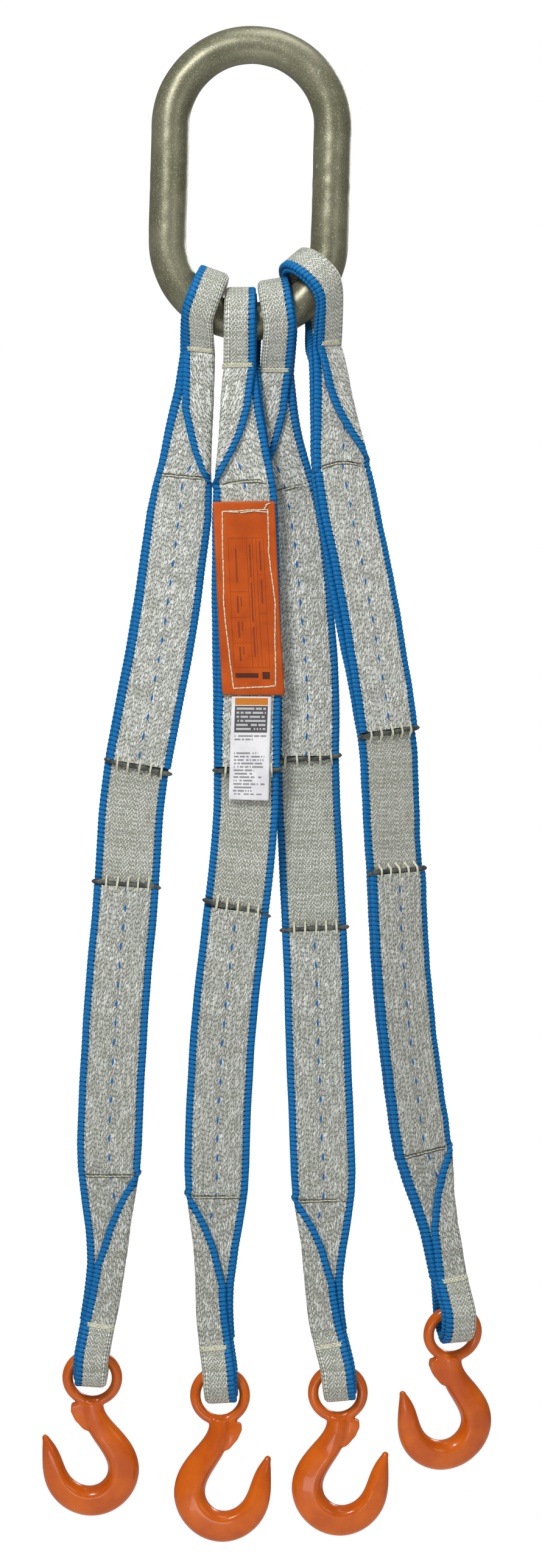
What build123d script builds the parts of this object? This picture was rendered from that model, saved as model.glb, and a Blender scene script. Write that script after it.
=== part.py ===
from build123d import *
import math
import os

# Four-leg flat web bridle sling: oblong master link, four 2 in single-ply web legs
# with sewn eyes, four forged eye hooks. Millimetres, +Z up, the front faces -Y.
# The origin is the crown seat: the highest point inside the master link's top bow.

# ---------------------------------------------------------------- driving sizes
LINK_BAR = 29.0          # master link bar diameter
LINK_INSIDE_W = 95.5     # master link inside width
LINK_INSIDE_L = 183.5    # master link inside length
LINK_LEAN_X = -2.6       # how far the lower bow's centre lies to the left of the upper one's
WEB_W = 49.5             # flat web width
WEB_T = 4.2              # web thickness, one ply
FOLD_W = 24.8            # width of the web folded in half lengthwise, in the eyes
EYE_TOP_HW = 11.4        # half width where the eyes crowd together on top of the link bar
PLY_GAP = 0.1            # gap between the two sewn plies' solids
BODY_GAP = 0.3           # gap between solids on different bodies
HOOK_EYE_R = 19.0        # hook eye ring, mean radius
HOOK_BAR_R = 4.0         # hook eye ring, bar radius
LOW_EYE_HW = 11.8        # half width of the web inside the hook's eye
LOW_EYE_H = 15.3         # half distance of the strands' middles at the hook's eye bar
LOW_EYE_D = 21.4         # depth of the loop's middle line below the hook's eye bar
TAG_T = 1.4              # identification tag thickness
LABEL_T = 0.6            # information label thickness


# ---------------------------------------------------------------- vectors
def add(a, b, k=1.0):
    return (a[0] + k * b[0], a[1] + k * b[1], a[2] + k * b[2])


def sub(a, b):
    return (a[0] - b[0], a[1] - b[1], a[2] - b[2])


def dot(a, b):
    return a[0] * b[0] + a[1] * b[1] + a[2] * b[2]


def cross(a, b):
    return (a[1] * b[2] - a[2] * b[1], a[2] * b[0] - a[0] * b[2], a[0] * b[1] - a[1] * b[0])


def unit(a):
    n = math.sqrt(dot(a, a))
    return (a[0] / n, a[1] / n, a[2] / n)


def mix(a, b, f):
    return tuple(p + (q - p) * f for p, q in zip(a, b))


def table(rows, z):
    """Linear reading of rows (z falling, value, ...) at z."""
    if z >= rows[0][0]:
        return rows[0][1:]
    for r0, r1 in zip(rows, rows[1:]):
        if z >= r1[0]:
            return mix(r0[1:], r1[1:], (z - r0[0]) / (r1[0] - r0[0]))
    return rows[-1][1:]


# ---------------------------------------------------------------- the four legs
# Every leg: the bar point under its upper eye, its middle line (z, x), its depth and
# twist (z, y, twist in degrees, positive brings the left edge forward), the offset of
# the front ply across the leg (z, offset), and the heights where its build-up changes.
BOW_R = (LINK_INSIDE_W + LINK_BAR) / 2
TOP_C = (0.0, 0.0, -LINK_INSIDE_W / 2)
BOT_C = (LINK_LEAN_X, 0.0, -(LINK_INSIDE_L - LINK_INSIDE_W / 2))

LEGS = {
    1: dict(
        bar_deg=-35.0, axis_deg=-20.0, eye_ri=22.2, fold_side=-1,
        line=[(-222.0, -40.7), (-250.0, -43.2), (-268.7, -46.0), (-287.4, -48.6), (-317.3, -52.6),
              (-343.5, -55.6), (-371.5, -59.2), (-399.5, -63.1), (-427.6, -67.3), (-455.6, -72.0),
              (-483.6, -77.3), (-511.7, -83.0), (-537.4, -87.8), (-567.8, -92.0), (-605.1, -94.8),
              (-631.8, -96.4), (-661.2, -98.6), (-698.6, -102.0), (-736.0, -104.9), (-773.4, -107.0),
              (-810.7, -108.5), (-856.0, -110.0), (-885.5, -110.1), (-904.2, -110.2), (-922.9, -111.2),
              (-941.6, -113.7), (-966.0, -118.0), (-990.5, -122.6)],
        depth=[(-187.0, 0.0, 0.0), (-222.0, 0.5, 0.0), (-317.3, 4.5, 0.0), (-620.0, 5.0, 0.0),
               (-760.0, 0.0, 0.0), (-990.5, 0.0, 0.0)],
        spread=[(-317.0, 0.0), (-430.0, 2.0), (-537.0, 1.5), (-600.0, 0.0)],
        tack=-222.0, seam=-317.3, cut=-537.4, low_cut=-631.8, low_seam=-856.0, low_tack=-966.0,
        hook=(-990.5, 12.0, 0.0, -1), fold=-585.0),
    2: dict(
        bar_deg=-5.6, axis_deg=0.0, eye_ri=18.0, fold_side=1,
        line=[(-236.0, -9.6), (-250.0, -9.2), (-268.7, -8.6), (-287.4, -7.2), (-322.4, -5.6),
              (-343.5, -5.3), (-371.5, -4.8), (-399.5, -4.6), (-427.6, -4.2), (-455.6, -3.6),
              (-483.6, -3.6), (-511.7, -3.8), (-539.7, -3.8), (-567.8, -4.2), (-605.1, -6.6),
              (-628.5, -9.2), (-649.5, -11.8), (-679.9, -15.4), (-717.3, -19.6), (-754.7, -23.0),
              (-792.1, -25.2), (-829.4, -26.4), (-872.0, -27.0), (-904.2, -27.4), (-922.9, -28.2),
              (-941.6, -29.0), (-960.3, -29.0), (-979.0, -27.8), (-1003.0, -24.4)],
        depth=[(-198.0, 0.0, 4.0), (-225.0, -4.0, 4.0), (-260.0, -8.8, 3.0), (-322.0, -9.6, 2.0), (-400.0, -9.6, 8.0),
               (-510.0, -9.6, 6.0), (-600.0, -9.0, 0.0), (-780.0, -4.0, 0.0), (-1003.0, 0.0, 0.0)],
        spread=[(-322.0, 0.0), (-399.5, 2.2), (-455.6, 3.4), (-511.0, 0.8), (-600.0, 0.0)],
        tack=-236.0, seam=-322.4, cut=-539.7, low_cut=-649.5, low_seam=-872.0, low_tack=-979.0,
        hook=(-1003.0, 0.0, 0.0, 1), fold=-594.0),
    3: dict(
        bar_deg=21.6, axis_deg=9.0, eye_ri=20.6, fold_side=1,
        line=[(-236.0, 18.6), (-250.0, 18.3), (-268.7, 18.9), (-287.4, 20.4), (-326.2, 26.4),
              (-343.5, 29.6), (-371.5, 33.6), (-399.5, 36.4), (-427.6, 39.0), (-455.6, 41.2),
              (-483.6, 42.4), (-511.7, 42.6), (-531.0, 42.4), (-567.8, 43.2), (-605.1, 45.0),
              (-633.2, 46.6), (-666.0, 48.2), (-698.6, 49.4), (-736.0, 50.5), (-773.4, 51.7),
              (-810.7, 53.1), (-848.1, 54.7), (-875.0, 55.4), (-904.2, 55.2), (-922.9, 54.6),
              (-941.6, 54.8), (-960.3, 56.6), (-974.0, 58.9), (-1001.5, 66.0)],
        depth=[(-194.0, 0.0, 0.0), (-225.0, 4.5, 0.0), (-260.0, 10.4, 0.0), (-300.0, 12.6, 0.0),
               (-560.0, 12.8, 0.0), (-680.0, 9.0, 0.0), (-850.0, 0.0, 0.0), (-1001.5, 0.0, 0.0)],
        spread=[(-326.0, 0.0), (-600.0, 0.0)],
        tack=-236.0, seam=-326.2, cut=-531.0, low_cut=-666.0, low_seam=-875.0, low_tack=-974.0,
        hook=(-1001.5, 6.0, 0.0, 1), fold=-600.0),
    4: dict(
        bar_deg=56.0, axis_deg=42.0, eye_ri=21.0, fold_side=-1,
        line=[(-219.0, 55.6), (-231.3, 57.9), (-250.0, 60.0), (-268.7, 61.9), (-287.4, 64.0),
              (-308.0, 67.2), (-324.8, 70.1), (-343.5, 73.6), (-371.5, 79.0), (-399.5, 84.0),
              (-427.6, 89.0), (-455.6, 94.4), (-483.6, 99.4), (-511.0, 103.6), (-530.4, 105.8),
              (-567.8, 107.6), (-595.8, 108.6), (-621.0, 110.2), (-642.5, 111.3), (-679.9, 113.2),
              (-717.3, 116.0), (-754.7, 120.0), (-792.1, 125.0), (-838.0, 131.4), (-866.8, 137.2),
              (-885.5, 142.0), (-904.2, 146.0), (-930.0, 150.6), (-956.5, 155.2)],
        depth=[(-174.0, 0.0, 38.0), (-219.0, -3.0, 38.0), (-308.0, -9.4, 26.0), (-500.0, -9.6, 25.0),
               (-600.0, -8.0, 30.0), (-800.0, -3.0, 30.0), (-880.0, 0.0, 20.0), (-956.5, 0.0, 12.0)],
        spread=[(-308.0, 1.0), (-399.5, 3.6), (-427.6, 4.0), (-470.0, 1.5), (-530.0, 0.0)],
        tack=-219.0, seam=-308.0, cut=-511.0, low_cut=-621.0, low_seam=-838.0, low_tack=-930.0,
        hook=(-956.5, 14.0, 12.0, -1), fold=-567.0),
}


def centre(leg, z):
    x = table(leg["line"], z)[0]
    y, twist = table(leg["depth"], z)
    return (x, y, z)


def frame_at(leg, z):
    """Middle point, direction down the web, direction across it to the right, front normal."""
    d = 6.0
    a, b = centre(leg, z + d), centre(leg, z - d)
    t = unit(sub(b, a))
    twist = math.radians(table(leg["depth"], z)[1])
    n = (math.sin(twist), -math.cos(twist), 0.0)
    across = unit(cross(n, t))
    return centre(leg, z), t, across, unit(cross(t, across))


def section(p, across, normal, hw, t, off=0.0, shift=0.0):
    """Corners of a web section: across by +-hw, through by +-t/2, about p + off*normal."""
    c = add(add(p, normal, off), across, shift)
    out = []
    for sa, sn in ((-1, -1), (1, -1), (1, 1), (-1, 1)):
        out.append(add(add(c, across, sa * hw), normal, sn * t / 2))
    return out


def web_solid(sections):
    """A closed web solid through a list of four-cornered sections."""
    wires = [Wire.make_polygon([Vector(*v) for v in s], close=True) for s in sections]
    return Solid.make_loft(wires, ruled=True)


def heights(leg, top, bottom):
    inner = [r[0] for r in leg["line"] if bottom + 5 < r[0] < top - 5]
    return [top] + inner + [bottom]


def ply(leg, top, bottom, off, shift_k=0.0, hw=WEB_W / 2, t=WEB_T - PLY_GAP):
    out = []
    for z in heights(leg, top, bottom):
        p, _, a, n = frame_at(leg, z)
        out.append(section(p, a, n, hw, t, off, shift_k * table(leg["spread"], z)[0]))
    return web_solid(out)


def tapered(leg, top, bottom, sides, hw0, hw1, h0, h1, t0, t1, ease=True):
    """The two strands between an eye and the sewn part: folded at one end, flat at the other."""
    solids = []
    zs = heights(leg, top, bottom)
    for s in sides:
        out = []
        for z in zs:
            f = (z - top) / (bottom - top)
            p, _, a, n = frame_at(leg, z)
            g = f ** 1.35 if hw1 > hw0 else 1.0 - (1.0 - f) ** 1.35
            out.append(section(p, a, n, hw0 + (hw1 - hw0) * g, t0 + (t1 - t0) * f,
                               s * (h0 + (h1 - h0) * f)))
        solids.append(web_solid(out))
    return solids


def bar_point(leg):
    b = math.radians(leg["bar_deg"])
    p = (BOT_C[0] + BOW_R * math.sin(b), 0.0, BOT_C[2] - BOW_R * math.cos(b))
    b = math.radians(leg["axis_deg"])
    along = (math.cos(b), 0.0, math.sin(b))
    out = (math.sin(b), 0.0, -math.cos(b))
    return p, along, out


def upper_eye(leg):
    """Wrap of the folded web over the link bar, from the front tack round to the back tack."""
    b, along, out = bar_point(leg)
    r = leg["eye_ri"] + WEB_T
    k, _, ka, kn = frame_at(leg, leg["tack"])
    half = WEB_T + 0.05
    secs = []
    front_end = add(k, kn, half)
    back_end = add(k, kn, -half)
    arc = [-112, -90, -72, -54, -36, -18, 0, 18, 36, 54, 72, 90, 112]

    def on_arc(deg):
        a = math.radians(deg)
        rad = (-out[0] * math.cos(a), math.sin(a), -out[2] * math.cos(a))
        return add(b, rad, r), rad

    first, frad = on_arc(arc[0])
    last, brad = on_arc(arc[-1])
    hw = FOLD_W / 2
    t = 2 * WEB_T - 0.1
    secs.append(section(front_end, ka, kn, hw, t))
    for f in (0.35, 0.7):
        p = mix(front_end, first, f)
        a = unit(mix(ka, along, f))
        n = unit(mix(kn, frad, f))
        n = unit(sub(n, tuple(dot(n, a) * c for c in a)))
        secs.append(section(p, a, n, hw, t))
    for deg in arc:
        p, rad = on_arc(deg)
        secs.append(section(p, along, rad, EYE_TOP_HW if abs(deg) < 70 else hw - 0.4, t))
    for f in (0.7, 0.35):
        p = mix(back_end, last, f)
        a = unit(mix(ka, along, f))
        n = unit(mix(tuple(-c for c in kn), brad, f))
        n = unit(sub(n, tuple(dot(n, a) * c for c in a)))
        secs.append(section(p, a, n, hw, t))
    secs.append(section(back_end, ka, tuple(-c for c in kn), hw, t))
    return web_solid(secs)


def hook_axis(leg):
    z = leg["hook"][0]
    p = centre(leg, z)
    yaw = math.radians(leg["hook"][2])
    return p, (math.cos(yaw), math.sin(yaw), 0.0)


def lower_eye(leg):
    """Loop of the folded web through the hook's eye, from the front tack round to the back."""
    k, _, ka, kn = frame_at(leg, leg["low_tack"])
    p, axis = hook_axis(leg)
    q = centre(leg, leg["hook"][0] + 14.0)
    down = sub(p, q)
    down = unit(add(unit(down), (0.0, 0.0, -1.0), 2.0))
    n0 = unit(cross(down, axis))
    a0 = unit(cross(n0, down))
    half = WEB_T + 0.05
    t = 2 * WEB_T - 0.1
    secs = []
    top_f, top_b = add(k, kn, half), add(k, kn, -half)
    secs.append(section(top_f, ka, kn, FOLD_W / 2 - 0.4, t))
    start = add(p, n0, LOW_EYE_H)
    end = add(p, n0, -LOW_EYE_H)
    f = 0.5
    secs.append(section(mix(top_f, start, f), unit(mix(ka, a0, f)), unit(mix(kn, n0, f)),
                        (FOLD_W / 2 + LOW_EYE_HW) / 2, t))
    for deg in (0, 25, 50, 70, 90, 110, 130, 155, 180):
        a = math.radians(deg)
        c = add(add(p, n0, LOW_EYE_H * math.cos(a)), down, LOW_EYE_D * math.sin(a))
        nn = unit(add(tuple(LOW_EYE_D * math.cos(a) * v for v in n0), down, LOW_EYE_H * math.sin(a)))
        secs.append(section(c, a0, nn, LOW_EYE_HW, t))
    back = tuple(-v for v in n0)
    secs.append(section(mix(top_b, end, f), unit(mix(ka, a0, f)), unit(mix(tuple(-v for v in kn), back, f)),
                        (FOLD_W / 2 + LOW_EYE_HW) / 2, t))
    secs.append(section(top_b, ka, tuple(-v for v in kn), FOLD_W / 2 - 0.4, t))
    return web_solid(secs)


# ---------------------------------------------------------------- hook
# Middle line of the hook below its eye ring, in the hook's own plane, measured from the
# ring's centre: (x, z, half width in the plane, half depth). The mouth opens to +x.
HOOK_LINE = [
    (0.0, -18.0, 8.2, 6.6), (0.6, -27.0, 8.4, 7.4), (-4.6, -39.0, 9.8, 8.0), (-14.2, -51.0, 11.0, 8.6),
    (-22.0, -63.0, 11.8, 9.2), (-24.6, -75.5, 12.1, 9.5), (-20.6, -88.5, 12.2, 9.5),
    (-10.0, -98.8, 12.2, 9.5), (3.6, -101.9, 12.1, 9.4), (16.6, -97.6, 11.4, 9.0),
    (26.2, -88.0, 10.3, 8.4), (30.4, -76.4, 9.0, 7.8), (31.8, -66.0, 7.6, 7.0),
    (33.8, -56.4, 5.6, 5.6), (36.6, -48.8, 2.4, 3.0),
]


def hook_solid():
    """The hook with its eye bar's middle at the origin, hanging down, mouth to +x."""
    cz = -HOOK_EYE_R
    ring = Pos(0, 0, cz) * Rot(90, 0, 0) * Torus(HOOK_EYE_R, HOOK_BAR_R)
    n = len(HOOK_LINE)
    faces = []
    for i, (x, z, hw, hd) in enumerate(HOOK_LINE):
        x0, z0 = HOOK_LINE[max(i - 1, 0)][:2]
        x1, z1 = HOOK_LINE[min(i + 1, n - 1)][:2]
        d = unit((x1 - x0, 0.0, z1 - z0))
        side = cross(d, (0.0, 1.0, 0.0))
        pl = Plane(origin=(x, 0, z + cz), x_dir=side, z_dir=d)
        faces.append(pl * Ellipse(hw, hd))
    body = loft(faces, ruled=False)
    lug = Pos(10.5, 0, cz - 35.5) * Rot(0, 0, 0) * Box(13.0, 8.0, 9.0)
    lug = chamfer(lug.edges().filter_by(Axis.Y).group_by(Axis.X)[-1], 3.0)
    tip = Pos(HOOK_LINE[-1][0], 0, HOOK_LINE[-1][1] + cz) * Sphere(2.7)
    out = ring + body + lug + tip
    return out.solid() if hasattr(out, "solid") else out


def place_hook(shape, leg):
    z, tilt, yaw, side = leg["hook"]
    p, _ = hook_axis(leg)
    turn = 0 if side > 0 else 180
    return Pos(*p) * Rot(0, 0, yaw) * Rot(tilt, 0, 0) * Rot(0, 0, turn) * shape


# ---------------------------------------------------------------- small sewn details
def strip_across(leg, z, w, hgt, t, off, shift=0.0, lean=0.0):
    """A thin bar of thread lying across the web's front face."""
    out = []
    p, d, a, n = frame_at(leg, z)
    c = add(add(p, n, off + t / 2), a, shift)
    a2 = unit(add(a, d, lean))
    d2 = unit(cross(a2, n))
    pts = []
    s = [add(add(c, a2, -w / 2), n, -t / 2), add(add(c, a2, w / 2), n, -t / 2),
         add(add(c, a2, w / 2), n, t / 2), add(add(c, a2, -w / 2), n, t / 2)]
    s0 = [add(v, d2, -hgt / 2) for v in s]
    s1 = [add(v, d2, hgt / 2) for v in s]
    return web_solid([s0, s1])


def web_end(leg, z, shift_k=1.0):
    """The heat-sealed roll on the cut end of the returned ply."""
    sh = shift_k * table(leg["spread"], z)[0]
    p, d, a, n = frame_at(leg, z)
    r = 2.0
    c = add(add(add(p, n, WEB_T / 2), a, sh), d, 0.0)
    pl = Plane(origin=add(c, a, -(WEB_W / 2 + 1.8)), z_dir=a, x_dir=n)
    return extrude(pl * Circle(r), WEB_W + 3.6)


def compound(solids):
    flat = []
    for s in solids:
        flat += list(s.solids()) if hasattr(s, "solids") else [s]
    return Compound(children=flat) if len(flat) > 1 else flat[0]


PARTS = {}


def build():
    # master link: one bar bent round two bows and two straight limbs
    lean = unit(sub(BOT_C, TOP_C))
    side = (-lean[2], 0.0, lean[0])
    if side[0] < 0:
        side = tuple(-v for v in side)
    tl, tr = add(TOP_C, side, -BOW_R), add(TOP_C, side, BOW_R)
    bl, br = add(BOT_C, side, -BOW_R), add(BOT_C, side, BOW_R)
    tm, bm = add(TOP_C, lean, -BOW_R), add(BOT_C, lean, BOW_R)
    path = Wire([Line(Vector(*tl), Vector(*bl)).edge(),
                 ThreePointArc(Vector(*bl), Vector(*bm), Vector(*br)).edge(),
                 Line(Vector(*br), Vector(*tr)).edge(),
                 ThreePointArc(Vector(*tr), Vector(*tm), Vector(*tl)).edge()])
    prof = Plane(origin=Vector(*tl), z_dir=Vector(*lean)) * Circle(LINK_BAR / 2)
    PARTS["master_link"] = sweep(prof, path=path)

    hook = hook_solid()
    for i, leg in LEGS.items():
        n = f"leg_{i}_"
        top_off = WEB_T / 2
        PARTS[n + "upper_eye"] = upper_eye(leg)
        zt = leg["tack"] - BODY_GAP
        full, half = WEB_W / 2, FOLD_W / 2
        front, back = tapered(leg, zt, leg["seam"], (1, -1), half, full,
                              WEB_T + 0.05, WEB_T / 2, 2 * WEB_T - 0.1, WEB_T - PLY_GAP)
        PARTS[n + "upper_taper_front"] = front
        PARTS[n + "upper_taper_back"] = back
        # returned ply in front, main ply behind
        end = web_end(leg, leg["cut"] - 2.0)
        PARTS[n + "upper_tail_ply"] = [ply(leg, leg["seam"], leg["cut"], top_off, 0.5), end]
        PARTS[n + "upper_main_ply"] = ply(leg, leg["seam"], leg["cut"] - 5.0, -top_off, -0.5)
        PARTS[n + "middle_web"] = ply(leg, leg["cut"] - 5.0 - BODY_GAP, leg["low_cut"] + 5.0, -top_off, -0.5)
        low_end = web_end(leg, leg["low_cut"] + 2.0, 0.0)
        PARTS[n + "lower_tail_ply"] = [ply(leg, leg["low_cut"], leg["low_seam"], top_off), low_end]
        PARTS[n + "lower_main_ply"] = ply(leg, leg["low_cut"] + 5.0, leg["low_seam"], -top_off)
        PARTS[n + "lower_taper"] = tapered(leg, leg["low_seam"], leg["low_tack"], (1, -1), full,
                                           half - 0.4, WEB_T / 2, WEB_T + 0.05, WEB_T - PLY_GAP, 2 * WEB_T - 0.1)
        PARTS[n + "lower_eye"] = lower_eye(leg)
        PARTS[n + "hook"] = place_hook(hook, leg)
        # sewing thread that stands on the front of the returned plies
        up, low = [], []
        fo = WEB_T + 0.02
        sh = 0.5 * table(leg["spread"], leg["seam"])[0]
        if i != 2:
            up.append(strip_across(leg, leg["seam"] - 3.0, WEB_W - 14, 1.4, 0.8, fo, sh))
        else:
            up.append(strip_across(leg, leg["seam"] + 1.6, WEB_W - 16, 1.4, 0.8, fo + 0.05, sh))
        low.append(strip_across(leg, leg["low_seam"] + 3.0, WEB_W - 14, 1.4, 0.8, fo))
        for k in range(5):
            u = -16 + 8 * k
            for zc, group, s in ((leg["cut"] - 2.0, up, 0.5), (leg["low_cut"] + 2.0, low, 0.0)):
                shc = s * table(leg["spread"], zc)[0]
                group.append(strip_across(leg, zc, 1.4, 9.0, 0.9, WEB_T + 0.04, shc + u))
        PARTS[n + "upper_stitching"] = up
        PARTS[n + "lower_stitching"] = low

    # identification tag and the label under it, on the front of leg 2
    leg = LEGS[2]
    tag, lab = [], []
    tag_off = WEB_T + 0.4 + TAG_T / 2
    rows = [(-337.0, -6.4), (-370.0, -5.2), (-400.0, -4.0), (-430.0, -2.6), (-460.0, -0.8), (-484.8, 0.6)]
    for z, x in rows:
        p, _, a, nn = frame_at(leg, z)
        tag.append(section((x, p[1], z), a, nn, 23.8, TAG_T, tag_off))
    PARTS["id_tag"] = web_solid(tag)
    border = []
    for z0, z1, u0, u1 in ((-343.6, -345.2, -19.2, 19.2), (-478.6, -480.2, -19.2, 19.2)):
        secs = []
        for z in (z0, z1):
            x = table(rows, z)[0]
            p, _, a, nn = frame_at(leg, z)
            secs.append(section((x, p[1], z), a, nn, 19.2, 0.5, WEB_T + 0.42 + TAG_T + 0.27))
        border.append(web_solid(secs))
    for u in (-18.4, 18.4):
        secs = []
        for z in (-345.3, -370.0, -400.0, -430.0, -460.0, -478.5):
            x = table(rows, z)[0]
            p, _, a, nn = frame_at(leg, z)
            secs.append(section((x, p[1], z), a, nn, 0.8, 0.5, WEB_T + 0.42 + TAG_T + 0.27, u))
        border.append(web_solid(secs))
    PARTS["tag_stitching"] = border
    for z, x in ((-485.6, -0.6), (-512.0, -1.4), (-540.0, -2.0), (-565.0, -2.6)):
        p, _, a, nn = frame_at(leg, z)
        off = WEB_T + 0.5 + LABEL_T / 2 + (0.0 if z > -530 else 0.6)
        lab.append(section((x, p[1], z), a, nn, 15.3, LABEL_T, off))
    PARTS["info_label"] = web_solid(lab)


def main():
    build()
    os.makedirs("parts", exist_ok=True)
    for name, shape in PARTS.items():
        if isinstance(shape, list):
            shape = compound(shape)
        export_step(shape, f"parts/{name}.step")
        print(name, round(shape.volume, 1))


main()
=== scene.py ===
import bpy
import math
import numpy as np
from mathutils import Vector, Matrix


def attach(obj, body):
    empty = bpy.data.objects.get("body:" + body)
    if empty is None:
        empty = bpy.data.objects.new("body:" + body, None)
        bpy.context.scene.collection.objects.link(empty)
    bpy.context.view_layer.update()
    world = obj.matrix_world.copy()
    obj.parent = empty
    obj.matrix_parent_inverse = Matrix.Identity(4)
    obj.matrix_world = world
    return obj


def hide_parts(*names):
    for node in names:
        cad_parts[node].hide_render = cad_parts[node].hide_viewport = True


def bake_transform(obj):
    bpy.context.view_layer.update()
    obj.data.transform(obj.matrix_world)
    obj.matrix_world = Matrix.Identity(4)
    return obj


# Looks of the four-leg web bridle sling. Lengths are in millimetres in the tables and
# helpers below, and in metres once a mesh is made. Front is -Y, up is +Z.
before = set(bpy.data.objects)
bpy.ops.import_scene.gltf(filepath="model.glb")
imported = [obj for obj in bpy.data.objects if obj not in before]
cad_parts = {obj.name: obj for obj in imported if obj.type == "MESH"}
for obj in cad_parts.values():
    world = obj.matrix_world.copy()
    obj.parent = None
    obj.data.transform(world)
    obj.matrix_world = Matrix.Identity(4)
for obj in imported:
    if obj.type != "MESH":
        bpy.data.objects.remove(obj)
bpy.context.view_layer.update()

# ---------------------------------------------------------------- sizes, the same as the part's
LINK_BAR, LINK_INSIDE_W, LINK_INSIDE_L, LINK_LEAN_X = 29.0, 95.5, 183.5, -2.6
WEB_W, WEB_T = 49.5, 4.2
HOOK_EYE_R, HOOK_BAR_R = 19.0, 4.0
LOW_EYE_H, LOW_EYE_D = 15.3, 21.4
BOW_R = (LINK_INSIDE_W + LINK_BAR) / 2
TOP_C = np.array([0.0, 0.0, -LINK_INSIDE_W / 2])
BOT_C = np.array([LINK_LEAN_X, 0.0, -(LINK_INSIDE_L - LINK_INSIDE_W / 2)])

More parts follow.
